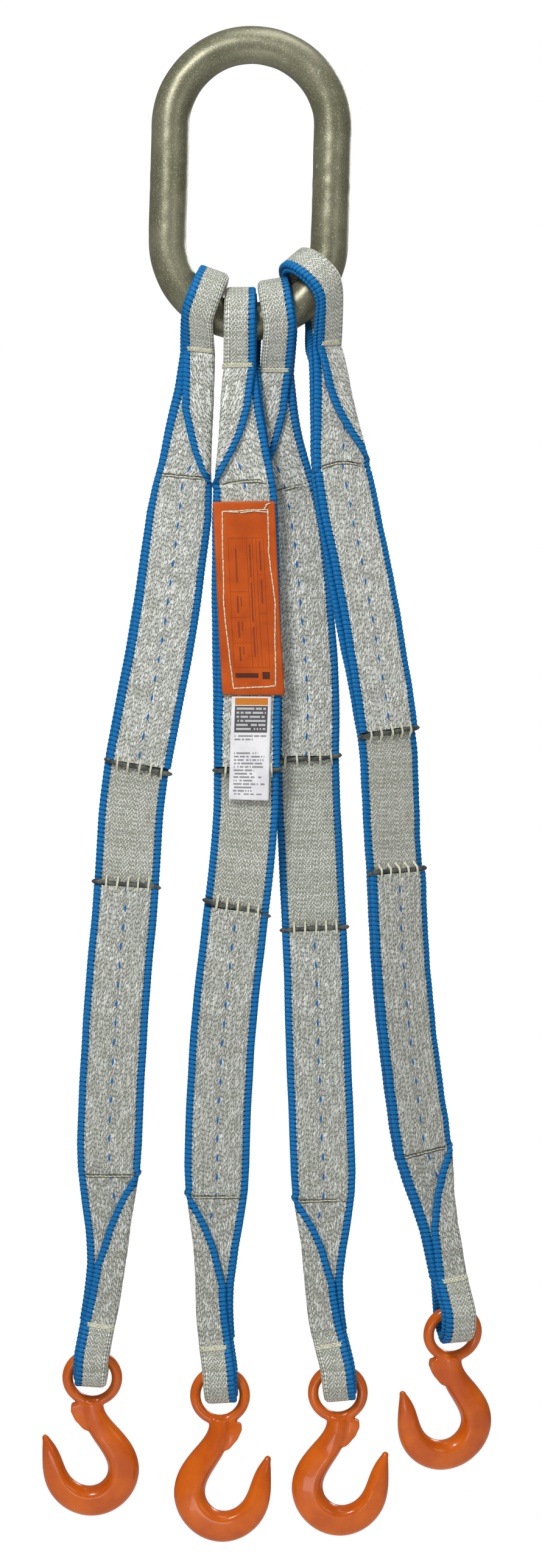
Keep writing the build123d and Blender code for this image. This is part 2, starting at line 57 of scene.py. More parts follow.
LEGS = {
    1: dict(
        bar_deg=-35.0, axis_deg=-20.0, eye_ri=22.2, fold_side=-1,
        line=[(-222.0, -40.7), (-250.0, -43.2), (-268.7, -46.0), (-287.4, -48.6), (-317.3, -52.6),
              (-343.5, -55.6), (-371.5, -59.2), (-399.5, -63.1), (-427.6, -67.3), (-455.6, -72.0),
              (-483.6, -77.3), (-511.7, -83.0), (-537.4, -87.8), (-567.8, -92.0), (-605.1, -94.8),
              (-631.8, -96.4), (-661.2, -98.6), (-698.6, -102.0), (-736.0, -104.9), (-773.4, -107.0),
              (-810.7, -108.5), (-856.0, -110.0), (-885.5, -110.1), (-904.2, -110.2), (-922.9, -111.2),
              (-941.6, -113.7), (-966.0, -118.0), (-990.5, -122.6)],
        depth=[(-187.0, 0.0, 0.0), (-222.0, 0.5, 0.0), (-317.3, 4.5, 0.0), (-620.0, 5.0, 0.0),
               (-760.0, 0.0, 0.0), (-990.5, 0.0, 0.0)],
        spread=[(-317.0, 0.0), (-430.0, 2.0), (-537.0, 1.5), (-600.0, 0.0)],
        tack=-222.0, seam=-317.3, cut=-537.4, low_cut=-631.8, low_seam=-856.0, low_tack=-966.0,
        hook=(-990.5, 12.0, 0.0, -1), fold=-585.0),
    2: dict(
        bar_deg=-5.6, axis_deg=0.0, eye_ri=18.0, fold_side=1,
        line=[(-236.0, -9.6), (-250.0, -9.2), (-268.7, -8.6), (-287.4, -7.2), (-322.4, -5.6),
              (-343.5, -5.3), (-371.5, -4.8), (-399.5, -4.6), (-427.6, -4.2), (-455.6, -3.6),
              (-483.6, -3.6), (-511.7, -3.8), (-539.7, -3.8), (-567.8, -4.2), (-605.1, -6.6),
              (-628.5, -9.2), (-649.5, -11.8), (-679.9, -15.4), (-717.3, -19.6), (-754.7, -23.0),
              (-792.1, -25.2), (-829.4, -26.4), (-872.0, -27.0), (-904.2, -27.4), (-922.9, -28.2),
              (-941.6, -29.0), (-960.3, -29.0), (-979.0, -27.8), (-1003.0, -24.4)],
        depth=[(-198.0, 0.0, 4.0), (-225.0, -4.0, 4.0), (-260.0, -8.8, 3.0), (-322.0, -9.6, 2.0), (-400.0, -9.6, 8.0),
               (-510.0, -9.6, 6.0), (-600.0, -9.0, 0.0), (-780.0, -4.0, 0.0), (-1003.0, 0.0, 0.0)],
        spread=[(-322.0, 0.0), (-399.5, 2.2), (-455.6, 3.4), (-511.0, 0.8), (-600.0, 0.0)],
        tack=-236.0, seam=-322.4, cut=-539.7, low_cut=-649.5, low_seam=-872.0, low_tack=-979.0,
        hook=(-1003.0, 0.0, 0.0, 1), fold=-594.0),
    3: dict(
        bar_deg=21.6, axis_deg=9.0, eye_ri=20.6, fold_side=1,
        line=[(-236.0, 18.6), (-250.0, 18.3), (-268.7, 18.9), (-287.4, 20.4), (-326.2, 26.4),
              (-343.5, 29.6), (-371.5, 33.6), (-399.5, 36.4), (-427.6, 39.0), (-455.6, 41.2),
              (-483.6, 42.4), (-511.7, 42.6), (-531.0, 42.4), (-567.8, 43.2), (-605.1, 45.0),
              (-633.2, 46.6), (-666.0, 48.2), (-698.6, 49.4), (-736.0, 50.5), (-773.4, 51.7),
              (-810.7, 53.1), (-848.1, 54.7), (-875.0, 55.4), (-904.2, 55.2), (-922.9, 54.6),
              (-941.6, 54.8), (-960.3, 56.6), (-974.0, 58.9), (-1001.5, 66.0)],
        depth=[(-194.0, 0.0, 0.0), (-225.0, 4.5, 0.0), (-260.0, 10.4, 0.0), (-300.0, 12.6, 0.0),
               (-560.0, 12.8, 0.0), (-680.0, 9.0, 0.0), (-850.0, 0.0, 0.0), (-1001.5, 0.0, 0.0)],
        spread=[(-326.0, 0.0), (-600.0, 0.0)],
        tack=-236.0, seam=-326.2, cut=-531.0, low_cut=-666.0, low_seam=-875.0, low_tack=-974.0,
        hook=(-1001.5, 6.0, 0.0, 1), fold=-600.0),
    4: dict(
        bar_deg=56.0, axis_deg=42.0, eye_ri=21.0, fold_side=-1,
        line=[(-219.0, 55.6), (-231.3, 57.9), (-250.0, 60.0), (-268.7, 61.9), (-287.4, 64.0),
              (-308.0, 67.2), (-324.8, 70.1), (-343.5, 73.6), (-371.5, 79.0), (-399.5, 84.0),
              (-427.6, 89.0), (-455.6, 94.4), (-483.6, 99.4), (-511.0, 103.6), (-530.4, 105.8),
              (-567.8, 107.6), (-595.8, 108.6), (-621.0, 110.2), (-642.5, 111.3), (-679.9, 113.2),
              (-717.3, 116.0), (-754.7, 120.0), (-792.1, 125.0), (-838.0, 131.4), (-866.8, 137.2),
              (-885.5, 142.0), (-904.2, 146.0), (-930.0, 150.6), (-956.5, 155.2)],
        depth=[(-174.0, 0.0, 38.0), (-219.0, -3.0, 38.0), (-308.0, -9.4, 26.0), (-500.0, -9.6, 25.0),
               (-600.0, -8.0, 30.0), (-800.0, -3.0, 30.0), (-880.0, 0.0, 20.0), (-956.5, 0.0, 12.0)],
        spread=[(-308.0, 1.0), (-399.5, 3.6), (-427.6, 4.0), (-470.0, 1.5), (-530.0, 0.0)],
        tack=-219.0, seam=-308.0, cut=-511.0, low_cut=-621.0, low_seam=-838.0, low_tack=-930.0,
        hook=(-956.5, 14.0, 12.0, -1), fold=-567.0),
}

HOOK_LINE = [
    (0.0, -18.0, 8.2, 6.6), (0.6, -27.0, 8.4, 7.4), (-4.6, -39.0, 9.8, 8.0), (-14.2, -51.0, 11.0, 8.6),
    (-22.0, -63.0, 11.8, 9.2), (-24.6, -75.5, 12.1, 9.5), (-20.6, -88.5, 12.2, 9.5),
    (-10.0, -98.8, 12.2, 9.5), (3.6, -101.9, 12.1, 9.4), (16.6, -97.6, 11.4, 9.0),
    (26.2, -88.0, 10.3, 8.4), (30.4, -76.4, 9.0, 7.8), (31.8, -66.0, 7.6, 7.0),
    (33.8, -56.4, 5.6, 5.6), (36.6, -48.8, 2.4, 3.0),
]

# ---------------------------------------------------------------- small mathematics
def unit(a):
    a = np.asarray(a, float)
    return a / np.maximum(np.linalg.norm(a, axis=-1, keepdims=True), 1e-12)


def smooth_rows(rows, sigma):
    """Gaussian smoothing down the rows, in units of rows; the two end rows stay where they are."""
    k = max(2, int(4 * sigma))
    k = min(k, len(rows) - 2)
    top = 2 * rows[0] - rows[k:0:-1]
    low = 2 * rows[-1] - rows[-2:-k - 2:-1]
    ext = np.vstack([top, rows, low])
    w = np.exp(-0.5 * (np.arange(-k, k + 1) / sigma) ** 2)
    w /= w.sum()
    return np.stack([np.convolve(ext[:, c], w, "valid") for c in range(rows.shape[1])], 1)


def step01(x, a, b):
    t = np.clip((np.asarray(x, float) - a) / (b - a), 0, 1)
    return t * t * (3 - 2 * t)


def law(rows, f):
    r = np.array(rows, float)
    return np.interp(f, r[:, 0], r[:, 1])


def wob(v, k, scale=1.0):
    """A slow, fixed waviness along v, in -1..1."""
    v = np.asarray(v, float) / scale
    return (np.sin(v / 17.0 + 1.7 * k) + 0.6 * np.sin(v / 7.9 + 2.9 * k) + 0.4 * np.sin(v / 31.0 + 0.7 * k)) / 2.0


def hash01(a, b=0.0, c=0.0):
    """A fixed pseudo-random number in 0..1 for given numbers."""
    x = np.sin(np.asarray(a, float) * 127.1 + np.asarray(b, float) * 311.7 + np.asarray(c, float) * 74.7) * 43758.5453
    return x - np.floor(x)


# ---------------------------------------------------------------- a leg's middle line and frame
class Leg:
    """Middle line, twist and frame of one leg against height z, smoothed from the table."""

    def __init__(self, i, d):
        self.i, self.d = i, d
        self.z = np.arange(-150.0, -1021.0, -1.0)
        line = np.array(d["line"])
        depth = np.array(d["depth"])
        spread = np.array(d["spread"])
        x = np.interp(-self.z, -line[:, 0], line[:, 1])
        # keep the slope above the first row and below the last one
        s0 = (line[1, 1] - line[0, 1]) / (line[1, 0] - line[0, 0])
        s1 = (line[-1, 1] - line[-2, 1]) / (line[-1, 0] - line[-2, 0])
        above, below = self.z > line[0, 0], self.z < line[-1, 0]
        x[above] = line[0, 1] + s0 * (self.z[above] - line[0, 0])
        x[below] = line[-1, 1] + s1 * (self.z[below] - line[-1, 0])
        y = np.interp(-self.z, -depth[:, 0], depth[:, 1])
        tw = np.interp(-self.z, -depth[:, 0], depth[:, 2])
        sp = np.interp(-self.z, -spread[:, 0], spread[:, 1])
        self.rows = smooth_rows(np.stack([x, y, tw, sp], 1), 7.0)

    def read(self, z):
        z = np.atleast_1d(np.asarray(z, float))
        return np.stack([np.interp(-z, -self.z, self.rows[:, c]) for c in range(4)], 1)

    def c(self, z):
        z = np.atleast_1d(np.asarray(z, float))
        r = self.read(z)
        return np.stack([r[:, 0], r[:, 1], z], 1)

    def frame(self, z):
        """Middle points, directions down, directions across to the right, front normals."""
        z = np.atleast_1d(np.asarray(z, float))
        t = unit(self.c(z - 6.0) - self.c(z + 6.0))
        tw = np.radians(self.read(z)[:, 2])
        n = np.stack([np.sin(tw), -np.cos(tw), 0 * tw], 1)
        a = unit(np.cross(n, t))
        return self.c(z), t, a, unit(np.cross(t, a))

    def at(self, z, u, off):
        """The point u across and off in front of the middle line at z."""
        p, _, a, n = self.frame(z)
        return (p + a * np.reshape(u, (-1, 1)) + n * np.reshape(off, (-1, 1)))


legs = {i: Leg(i, d) for i, d in LEGS.items()}


# ---------------------------------------------------------------- meshes
def make_object(name, verts, faces, uv=None, mat=None, smooth=True, sharp_rows=None):
    """A mesh object from points in millimetres; uv is one pair per vertex, in millimetres."""
    me = bpy.data.meshes.new(name)
    verts = np.asarray(verts, float) * 0.001
    me.from_pydata(verts.tolist(), [], [list(map(int, f)) for f in faces])
    me.polygons.foreach_set("use_smooth", [bool(smooth)] * len(me.polygons))
    if uv is not None:
        lay = me.uv_layers.new(name="weave")
        li = np.zeros(len(me.loops), int)
        me.loops.foreach_get("vertex_index", li)
        lay.data.foreach_set("uv", (np.asarray(uv, float)[li] * 0.001).astype(np.float32).ravel())
    me.validate()
    me.update()
    ob = bpy.data.objects.new(name, me)
    bpy.context.scene.collection.objects.link(ob)
    if mat:
        me.materials.append(mat)
    return ob


def orient(verts, faces):
    """The faces turned so that they look outwards."""
    v = np.asarray(verts, float)
    q = np.asarray(faces)
    a, b, c = v[q[:, 0]], v[q[:, 1]], v[q[:, 2]]
    vol = np.einsum("ij,ij->", a, np.cross(b, c))
    if q.shape[1] == 4:
        vol += np.einsum("ij,ij->", a, np.cross(c, v[q[:, 3]]))
    return q if vol > 0 else q[:, ::-1]


class Parts:
    """Collects quads of several closed pieces into one mesh."""

    def __init__(self):
        self.v, self.f, self.uv, self.n = [], [], [], 0

    def add(self, verts, faces, uv=None):
        verts = np.asarray(verts, float)
        self.v.append(verts)
        self.f.append(orient(verts, faces) + self.n)
        self.uv.append(np.zeros((len(verts), 2)) if uv is None else np.asarray(uv, float))
        self.n += len(verts)

    def make(self, name, mat, smooth=True):
        return make_object(name, np.vstack(self.v), np.vstack(self.f), np.vstack(self.uv), mat, smooth)


def tube(points, radius, sides=6, squash=1.0, up=None, caps=True):
    """A closed tube along points; radius is one number or one per point."""
    p = np.asarray(points, float)
    n = len(p)
    r = np.broadcast_to(np.asarray(radius, float), (n,))
    t = unit(np.gradient(p, axis=0))
    ref = np.array([0.0, -1.0, 0.0]) if up is None else np.asarray(up, float)
    ref = np.broadcast_to(ref, (n, 3))
    s = np.cross(t, ref)
    bad = np.linalg.norm(s, axis=1) < 1e-3
    if bad.any():
        s[bad] = np.cross(t[bad], np.array([0.31, 0.2, 0.9]))
    s = unit(s)
    w = unit(np.cross(s, t))
    ang = np.linspace(0, 2 * np.pi, sides, endpoint=False)
    ring = (s[:, None, :] * np.cos(ang)[None, :, None] + w[:, None, :] * np.sin(ang)[None, :, None] * squash)
    v = p[:, None, :] + ring * r[:, None, None]
    v = v.reshape(-1, 3)
    j, i = np.meshgrid(np.arange(n - 1), np.arange(sides), indexing="ij")
    a = j * sides + i
    b = j * sides + (i + 1) % sides
    f = np.stack([a, b, b + sides, a + sides], -1).reshape(-1, 4)
    if caps:
        v = np.vstack([v, p[0] - t[0] * r[0] * 0.5, p[-1] + t[-1] * r[-1] * 0.5])
        k0, k1 = n * sides, n * sides + 1
        i = np.arange(0, sides, 2)
        f = np.vstack([f,
                       np.stack([np.full(len(i), k0), (i + 2) % sides, (i + 1) % sides, i], -1),
                       np.stack([np.full(len(i), k1), (n - 1) * sides + i, (n - 1) * sides + (i + 1) % sides,
                                 (n - 1) * sides + (i + 2) % sides], -1)])
    uv = np.stack([np.tile(ang * 1.0, n), np.repeat(np.cumsum(np.r_[0, np.linalg.norm(np.diff(p, axis=0), axis=1)]), sides)], 1)
    if caps:
        uv = np.vstack([uv, [0, 0], [0, 0]])
    return v, f, uv


# ---------------------------------------------------------------- web sheets
RIB = 3.4                 # pitch of the selvedge's ribs
HALF = WEB_W / 2
EDGE_U = [-24.75, -24.5, -24.0, -23.2, -22.2, -21.0, -20.1, -19.6, -19.1]
FOLD_U = np.array(EDGE_U + list(np.linspace(-18.0, 18.0, 25)) + [-u for u in EDGE_U[::-1]])
FLAT_U = np.array(EDGE_U + list(np.linspace(-17.5, 17.5, 13)) + [-u for u in EDGE_U[::-1]])


def half_thickness(u, v, phase, ribs=1.0):
    """Half thickness of the web at u across, v along: rounded and ribbed selvedges, a groove inside them."""
    au = np.abs(u)
    edge = np.clip((au - (HALF - 1.7)) / 1.7, 0, 1)
    h = (WEB_T - 0.1) / 2 * np.sqrt(np.maximum(1 - 0.955 * edge ** 2, 0.03))
    sel = step01(au, 19.3, 20.0)
    rib = np.abs(np.sin(np.pi * v / RIB + phase + 0.12 * (au - 22)))
    h = h + sel * (0.42 * rib ** 0.8 - 0.36) * ribs * np.sqrt(np.maximum(1 - 0.8 * edge ** 2, 0.05))
    h = h - 0.45 * np.exp(-((au - 19.6) / 0.5) ** 2) * (1.25 - rib)
    return h


class Sheet:
    """A thick web sheet: rows down its length, columns across it."""

    def __init__(self, P, A, N, X, Y, NX, NY, u, v, phase, face_shift=200.0):
        self.u = np.broadcast_to(u, X.shape)
        self.v = np.broadcast_to(np.reshape(v, (-1, 1)), X.shape)
        self.h = half_thickness(self.u, self.v, phase)
        rib = np.abs(np.sin(np.pi * self.v / RIB + phase))
        out = np.sign(self.u) * step01(np.abs(self.u), 22.5, 24.5) * (0.5 * rib - 0.25)
        # the sheet's own direction across, in its section
        dx, dy = np.gradient(X, axis=1), np.gradient(Y, axis=1)
        ln = np.maximum(np.hypot(dx, dy), 1e-9)
        X = X + out * dx / ln
        Y = Y + out * dy / ln
        self.mid = P[:, None, :] + A[:, None, :] * X[..., None] + N[:, None, :] * Y[..., None]
        self.n = unit(A[:, None, :] * NX[..., None] + N[:, None, :] * NY[..., None])
        self.face_shift = face_shift

    def mesh(self, parts=None):
        R, C = self.u.shape
        top = self.mid + self.n * self.h[..., None]
        bot = self.mid - self.n * self.h[..., None]
        ring = np.concatenate([top, bot[:, ::-1]], 1)
        uv_top = np.stack([self.u, self.v], -1)
        uv_bot = np.stack([self.u + self.face_shift, self.v], -1)
        uv = np.concatenate([uv_top, uv_bot[:, ::-1]], 1)
        K = 2 * C
        j, i = np.meshgrid(np.arange(R - 1), np.arange(K), indexing="ij")
        a = j * K + i
        b = j * K + (i + 1) % K
        f = np.stack([a, b, b + K, a + K], -1).reshape(-1, 4)
        v = ring.reshape(-1, 3)
        uvs = uv.reshape(-1, 2)
        # end caps with corners of their own, so that the ends stay crisp
        base = len(v)
        v = np.vstack([v, ring[0], ring[-1]])
        uvs = np.vstack([uvs, uv[0], uv[-1]])
        i = np.arange(C - 1)
        cap0 = np.stack([base + i, base + K - 1 - i, base + K - 2 - i, base + i + 1], -1)
        base += K
        cap1 = np.stack([base + i + 1, base + K - 2 - i, base + K - 1 - i, base + i], -1)
        f = np.vstack([f, cap0, cap1])
        (parts if parts is not None else self).last = None
        return v, f, uvs

    def at(self, u, v, face=1, lift=0.0):
        """Points on the sheet at (u, v); face 1 is the side its normals look to."""
        u, v = np.atleast_1d(np.asarray(u, float)), np.atleast_1d(np.asarray(v, float))
        vv = self.v[:, 0]
        if vv[0] > vv[-1]:
            r = np.interp(-v, -vv, np.arange(len(vv)))
        else:
            r = np.interp(v, vv, np.arange(len(vv)))
        uu = self.u[0]
        c = np.interp(u, uu, np.arange(len(uu)))
        r0, c0 = np.clip(r.astype(int), 0, len(vv) - 2), np.clip(c.astype(int), 0, len(uu) - 2)
        fr, fc = (r - r0)[:, None], (c - c0)[:, None]

        def read(q):
            q = q if q.ndim == 3 else q[..., None]
            return (q[r0, c0] * (1 - fr) * (1 - fc) + q[r0 + 1, c0] * fr * (1 - fc)
                    + q[r0, c0 + 1] * (1 - fr) * fc + q[r0 + 1, c0 + 1] * fr * fc)

        n = unit(read(self.n)) * face
        return read(self.mid) + n * (read(self.h) + np.reshape(lift, (-1, 1)))


def flat_rows(X_scale, shift, u, off):
    """Section of a flat ply."""
    X = u[None, :] * X_scale[:, None] + shift[:, None]
    Y = np.zeros_like(X) + off[:, None]
    return X, Y, np.zeros_like(X), np.ones_like(X)


def folded_rows(hw, e, side, sgn, y0, uf, g=WEB_T, t=WEB_T - 0.1, xshift=None):
    """Section of the web folded lengthwise: half width hw, width e of the part folded over on the fold's
    side. side +1 folds at +x. sgn +1 lays the folded part in front, -1 behind. y0 is the under layer."""
    hw, e = np.asarray(hw, float)[:, None], np.asarray(e, float)[:, None]
    room = t / 2 + g / 2
    phi = np.clip(e / room, 1e-4, 1.0)
    R = g / 2
    xc = hw - phi * room
    L1, L2, L3 = xc + hw, np.pi * phi * R, np.maximum(e - room, 0.0)
    s = uf[None, :] * (L1 + L2 + L3)
    th = np.clip((s - L1) / R, 0, np.pi * phi)
    on1, on3 = s <= L1, s > L1 + L2
    X = np.where(on1, -hw + s, np.where(on3, xc - (s - L1 - L2), xc + R * np.sin(th)))
    Y = np.where(on1, 0.0, np.where(on3, g, R * (1 - np.cos(th))))
    NX = np.where(on1, 0.0, np.where(on3, 0.0, -np.sin(th)))
    NY = np.where(on1, 1.0, np.where(on3, -1.0, np.cos(th)))
    X = side * X
    if xshift is not None:
        X = X + np.asarray(xshift)[:, None]
    return X, sgn * (y0 + Y), side * NX, sgn * NY


# width of the part folded over, and whole width, against the share f of the way from the
# bar tack (0) to the start seam (1)
UP_E = [(0, 24.2), (0.33, 23.4), (0.49, 20.5), (0.6, 17.5), (0.74, 12.5), (0.9, 6.5), (1.05, 0.0)]
UP_W = [(0, 25.4), (0.16, 28.6), (0.33, 31.4), (0.49, 34.6), (0.6, 36.8), (0.74, 40.0), (0.9, 44.3), (1.05, 47.6),
        (1.3, 49.5)]
UP_E1 = [(0, 24.4), (0.46, 24.4), (0.64, 19.5), (0.787, 15.0), (0.92, 9.6), (1.0, 5.0), (1.05, 0.0)]
UP_W1 = [(0, 25.4), (0.3, 29.5), (0.46, 33.0), (0.64, 36.3), (0.787, 38.6), (0.92, 41.0), (1.0, 43.2), (1.1, 46.0),
         (1.3, 49.5)]
# the same at the lower end, from the start seam (0) down to the bar tack (1)
LOW_E = [(-0.08, 0.0), (0, 5.6), (0.168, 13.0), (0.336, 17.8), (0.6, 23.2), (1, 24.4)]
LOW_W = [(-0.25, 49.5), (-0.08, 47.6), (0.0, 45.4), (0.168, 40.2), (0.336, 34.4), (0.6, 28.8), (1, 26.6)]


def up_f(d, z):
    return (z - d["tack"]) / (d["seam"] - d["tack"])


def low_f(d, z):
    return (z - d["low_seam"]) / (d["low_tack"] - d["low_seam"])


def web_width(i, z):
    """Whole width of leg i's flat plies at height z."""
    d = LEGS[i]
    w = law(UP_W1 if i == 1 else UP_W, up_f(d, z))
    return np.minimum(w, law(LOW_W, low_f(d, z)))


def rows_of(v0, v1, step=0.85):
    n = max(2, int(round(abs(v1 - v0) / step)) + 1)
    return np.linspace(v0, v1, n)


def ripple(i, z, u):
    """Shared small unevenness of a leg's plies, in front of the middle line."""
    z, u = np.asarray(z, float)[:, None], np.asarray(u, float)[None, :]
    return (0.28 * np.sin(z / 9.3 + 1.3 * i + 0.05 * u) * np.sin(z / 41.0 + i) + 0.16 * np.sin(z / 4.1 + 0.7 * i + 0.08 * u)
            + pucker(i, z, u))


def pucker(i, z, u):
    """The start seam pulls the web in; soft folds stand above it."""
    q = z - SEAMS[i](u)
    low = LEGS[i]["low_seam"] + 2.6 + 0.02 * u - z
    q = np.where(np.abs(low) < 60, low, q)
    w = 0.8 + 0.2 * np.sin(u / 3.1 + i)
    return w * (-1.30 * np.exp(-(q / 1.15) ** 2) + 0.55 * np.exp(-((q - 3.6) / 1.5) ** 2) - 0.30 * np.exp(-((q - 7.0) / 1.4) ** 2)
                + 0.34 * np.exp(-((q - 10.5) / 1.8) ** 2) - 0.22 * np.exp(-((q - 14.5) / 1.6) ** 2)
                + 0.30 * np.exp(-((q + 3.2) / 1.6) ** 2))


def ply_sheet(i, z0, z1, off, shift_k, phase):
    leg, d = legs[i], LEGS[i]
    z = rows_of(z0, z1)
    p, _, a, n = leg.frame(z)
    w = web_width(i, z) / WEB_W
    X, Y, NX, NY = flat_rows(w, shift_k * leg.read(z)[:, 3] + 0.25 * wob(z, i), FLAT_U, np.full(len(z), off))
    Y = Y + ripple(i, z, FLAT_U)
    return Sheet(p, a, n, X, Y, NX, NY, FLAT_U[None, :], -z, phase)


def taper_sheet(i, z0, z1, sgn, upper, phase, peek=0.0):
    """The strand between an eye and the sewn part; sgn +1 is the front one."""
    leg, d = legs[i], LEGS[i]
    side = -d["fold_side"]
    z = rows_of(z0, z1)
    p, _, a, n = leg.frame(z)
    f = up_f(d, z) if upper else low_f(d, z)
    if upper:
        w, e = law(UP_W1 if i == 1 else UP_W, f), law(UP_E1 if i == 1 else UP_E, f)
        k = np.clip(1 - f, 0, 1)
    else:
        w, e = law(LOW_W, f), law(LOW_E, f)
        k = np.clip(f, 0, 1)
    uf = FOLD_U / WEB_W + 0.5
    X, Y, NX, NY = folded_rows(w / 2, e, side, sgn, WEB_T / 2 + 0.04, uf, xshift=0.25 * wob(z, i) - side * peek * k)
    Y = Y + sgn * 0.0 + ripple(i, z, FOLD_U) * np.clip(1 - k, 0, 1)[:, None]
    # the folded part lifts a little where it turns over
    lift = 0.9 * np.exp(-((e - 12) / 7.0) ** 2)[:, None] * step01(np.abs(Y - sgn * (WEB_T / 2)), 2.0, 4.0)
    Y = Y + sgn * lift
    return Sheet(p, a, n, X, Y, NX, NY, FOLD_U[None, :], -z, phase)


def resample(rows, step, sigma):
    """Rows (point, across, normal, half width, x shift) resampled along the path and smoothed."""
    rows = np.asarray(rows, float)
    s = np.r_[0, np.cumsum(np.linalg.norm(np.diff(rows[:, :3], axis=0), axis=1))]
    n = int(round(s[-1] / 1.0)) + 1
    q = np.linspace(0, s[-1], n)
    fine = np.stack([np.interp(q, s, rows[:, c]) for c in range(rows.shape[1])], 1)
    fine = smooth_rows(fine, sigma)
    s2 = np.r_[0, np.cumsum(np.linalg.norm(np.diff(fine[:, :3], axis=0), axis=1))]
    m = int(round(s2[-1] / step)) + 1
    q2 = np.linspace(0, s2[-1], m)
    out = np.stack([np.interp(q2, s2, fine[:, c]) for c in range(fine.shape[1])], 1)
    P, A = out[:, :3], unit(out[:, 3:6])
    N = out[:, 6:9] - A * np.sum(out[:, 6:9] * A, 1, keepdims=True)
    return P, A, unit(N), out[:, 9], out[:, 10], q2


def bar_point(d):
    b = math.radians(d["bar_deg"])
    p = np.array([BOT_C[0] + BOW_R * math.sin(b), 0.0, BOT_C[2] - BOW_R * math.cos(b)])
    b = math.radians(d["axis_deg"])
    return p, np.array([math.cos(b), 0.0, math.sin(b)]), np.array([math.sin(b), 0.0, -math.cos(b)])


EYE_YAW = {1: 0.0, 2: 0.0, 3: 0.0, 4: 14.0}


def upper_eye_sheet(i, phase, peek=0.0, top_hw=12.3):
    leg, d = legs[i], LEGS[i]
    side = -d["fold_side"]
    b, along, out = bar_point(d)
    yaw = math.radians(EYE_YAW[i])
    along = along * math.cos(yaw) + np.array([0.0, 1.0, 0.0]) * math.sin(yaw)
    r = d["eye_ri"] + WEB_T + (1.8 if i == 4 else 0.3)
    k, _, ka, kn = (q[0] for q in leg.frame(d["tack"]))
    half = WEB_T + 0.05
    front, back = k + kn * half, k - kn * half
    hw = 12.7
    rows = []

    def row(p, a, n, w, sh):
        rows.append(np.r_[p, a, n, w, sh])

    def on_arc(deg):
        a = math.radians(deg)
        ahead = unit(np.cross(out, along))
        rad = -out * math.cos(a) - ahead * math.sin(a) * (1.0 if ahead[1] < 0 else -1.0)
        return b + rad * r, unit(rad)

    first, frad = on_arc(-112)
    last, brad = on_arc(112)
    row(front, ka, kn, hw, 0.0)
    for f in (0.35, 0.7):
        row(front + (first - front) * f, unit(ka + (along - ka) * f), unit(kn + (frad - kn) * f), hw, 0.0)
    for deg in range(-112, 113, 8):
        p, rad = on_arc(deg)
        row(p, along, rad, top_hw + 0.5 * step01(abs(deg), 40, 80), peek * float(step01(deg, 20, 100)))
    for f in (0.7, 0.35):
        row(back + (last - back) * f, unit(ka + (along - ka) * f), unit(-kn + (brad + kn) * f), hw, peek)
    row(back, ka, -kn, hw, peek)
    P, A, N, W, SH, s = resample(rows, 0.85, 8.0 if i == 4 else 4.0)
    uf = FOLD_U / WEB_W + 0.5
    e = np.full(len(P), 24.2)
    e = np.minimum(e, 2 * W - 0.8)
    X, Y, NX, NY = folded_rows(W, e, side, 1, -WEB_T / 2, uf, xshift=-side * SH)
    total = s[-1]
    # v runs on from the front taper's, so that ribs and weave meet at the front tack
    v = -d["tack"] - s
    return Sheet(P, A, N, X, Y, NX, NY, FOLD_U[None, :], v, phase)


def hook_axis(d, leg):
    p = leg.c(d["hook"][0])[0]
    yaw = math.radians(d["hook"][2])
    return p, np.array([math.cos(yaw), math.sin(yaw), 0.0])


def lower_eye_sheet(i, phase):
    leg, d = legs[i], LEGS[i]
    side = -d["fold_side"]
    k, _, ka, kn = (q[0] for q in leg.frame(d["low_tack"]))
    p, axis = hook_axis(d, leg)
    q = leg.c(d["hook"][0] + 14.0)[0]
    down = unit(unit(p - q) + np.array([0, 0, -2.0]))
    n0 = unit(np.cross(down, axis))
    a0 = unit(np.cross(n0, down))
    half = WEB_T + 0.05
    top_f, top_b = k + kn * half, k - kn * half
    rows = []

    def row(pt, a, n, w):
        rows.append(np.r_[pt, a, n, w, 0.0])

    hw = 13.3
    row(top_f, ka, kn, hw)
    start, end = p + n0 * LOW_EYE_H, p - n0 * LOW_EYE_H
    row((top_f + start) / 2, unit(ka + a0), unit(kn + n0), hw)
    for deg in range(0, 181, 12):
        a = math.radians(deg)
        c = p + n0 * LOW_EYE_H * math.cos(a) + down * LOW_EYE_D * math.sin(a)
        nn = unit(n0 * LOW_EYE_D * math.cos(a) + down * LOW_EYE_H * math.sin(a))
        row(c, a0, nn, hw - 0.7 * math.sin(a) ** 4)
    row((top_b + end) / 2, unit(ka + a0), unit(-kn - n0), hw)
    row(top_b, ka, -kn, hw)
    P, A, N, W, SH, s = resample(rows, 0.85, 3.0)
    uf = FOLD_U / WEB_W + 0.5
    e = np.minimum(np.full(len(P), 24.4), 2 * W - 1.0)
    X, Y, NX, NY = folded_rows(W, e, side, 1, -WEB_T / 2, uf, xshift=SH)
    v = -d["low_tack"] + s
    return Sheet(P, A, N, X, Y, NX, NY, FOLD_U[None, :], v, phase)


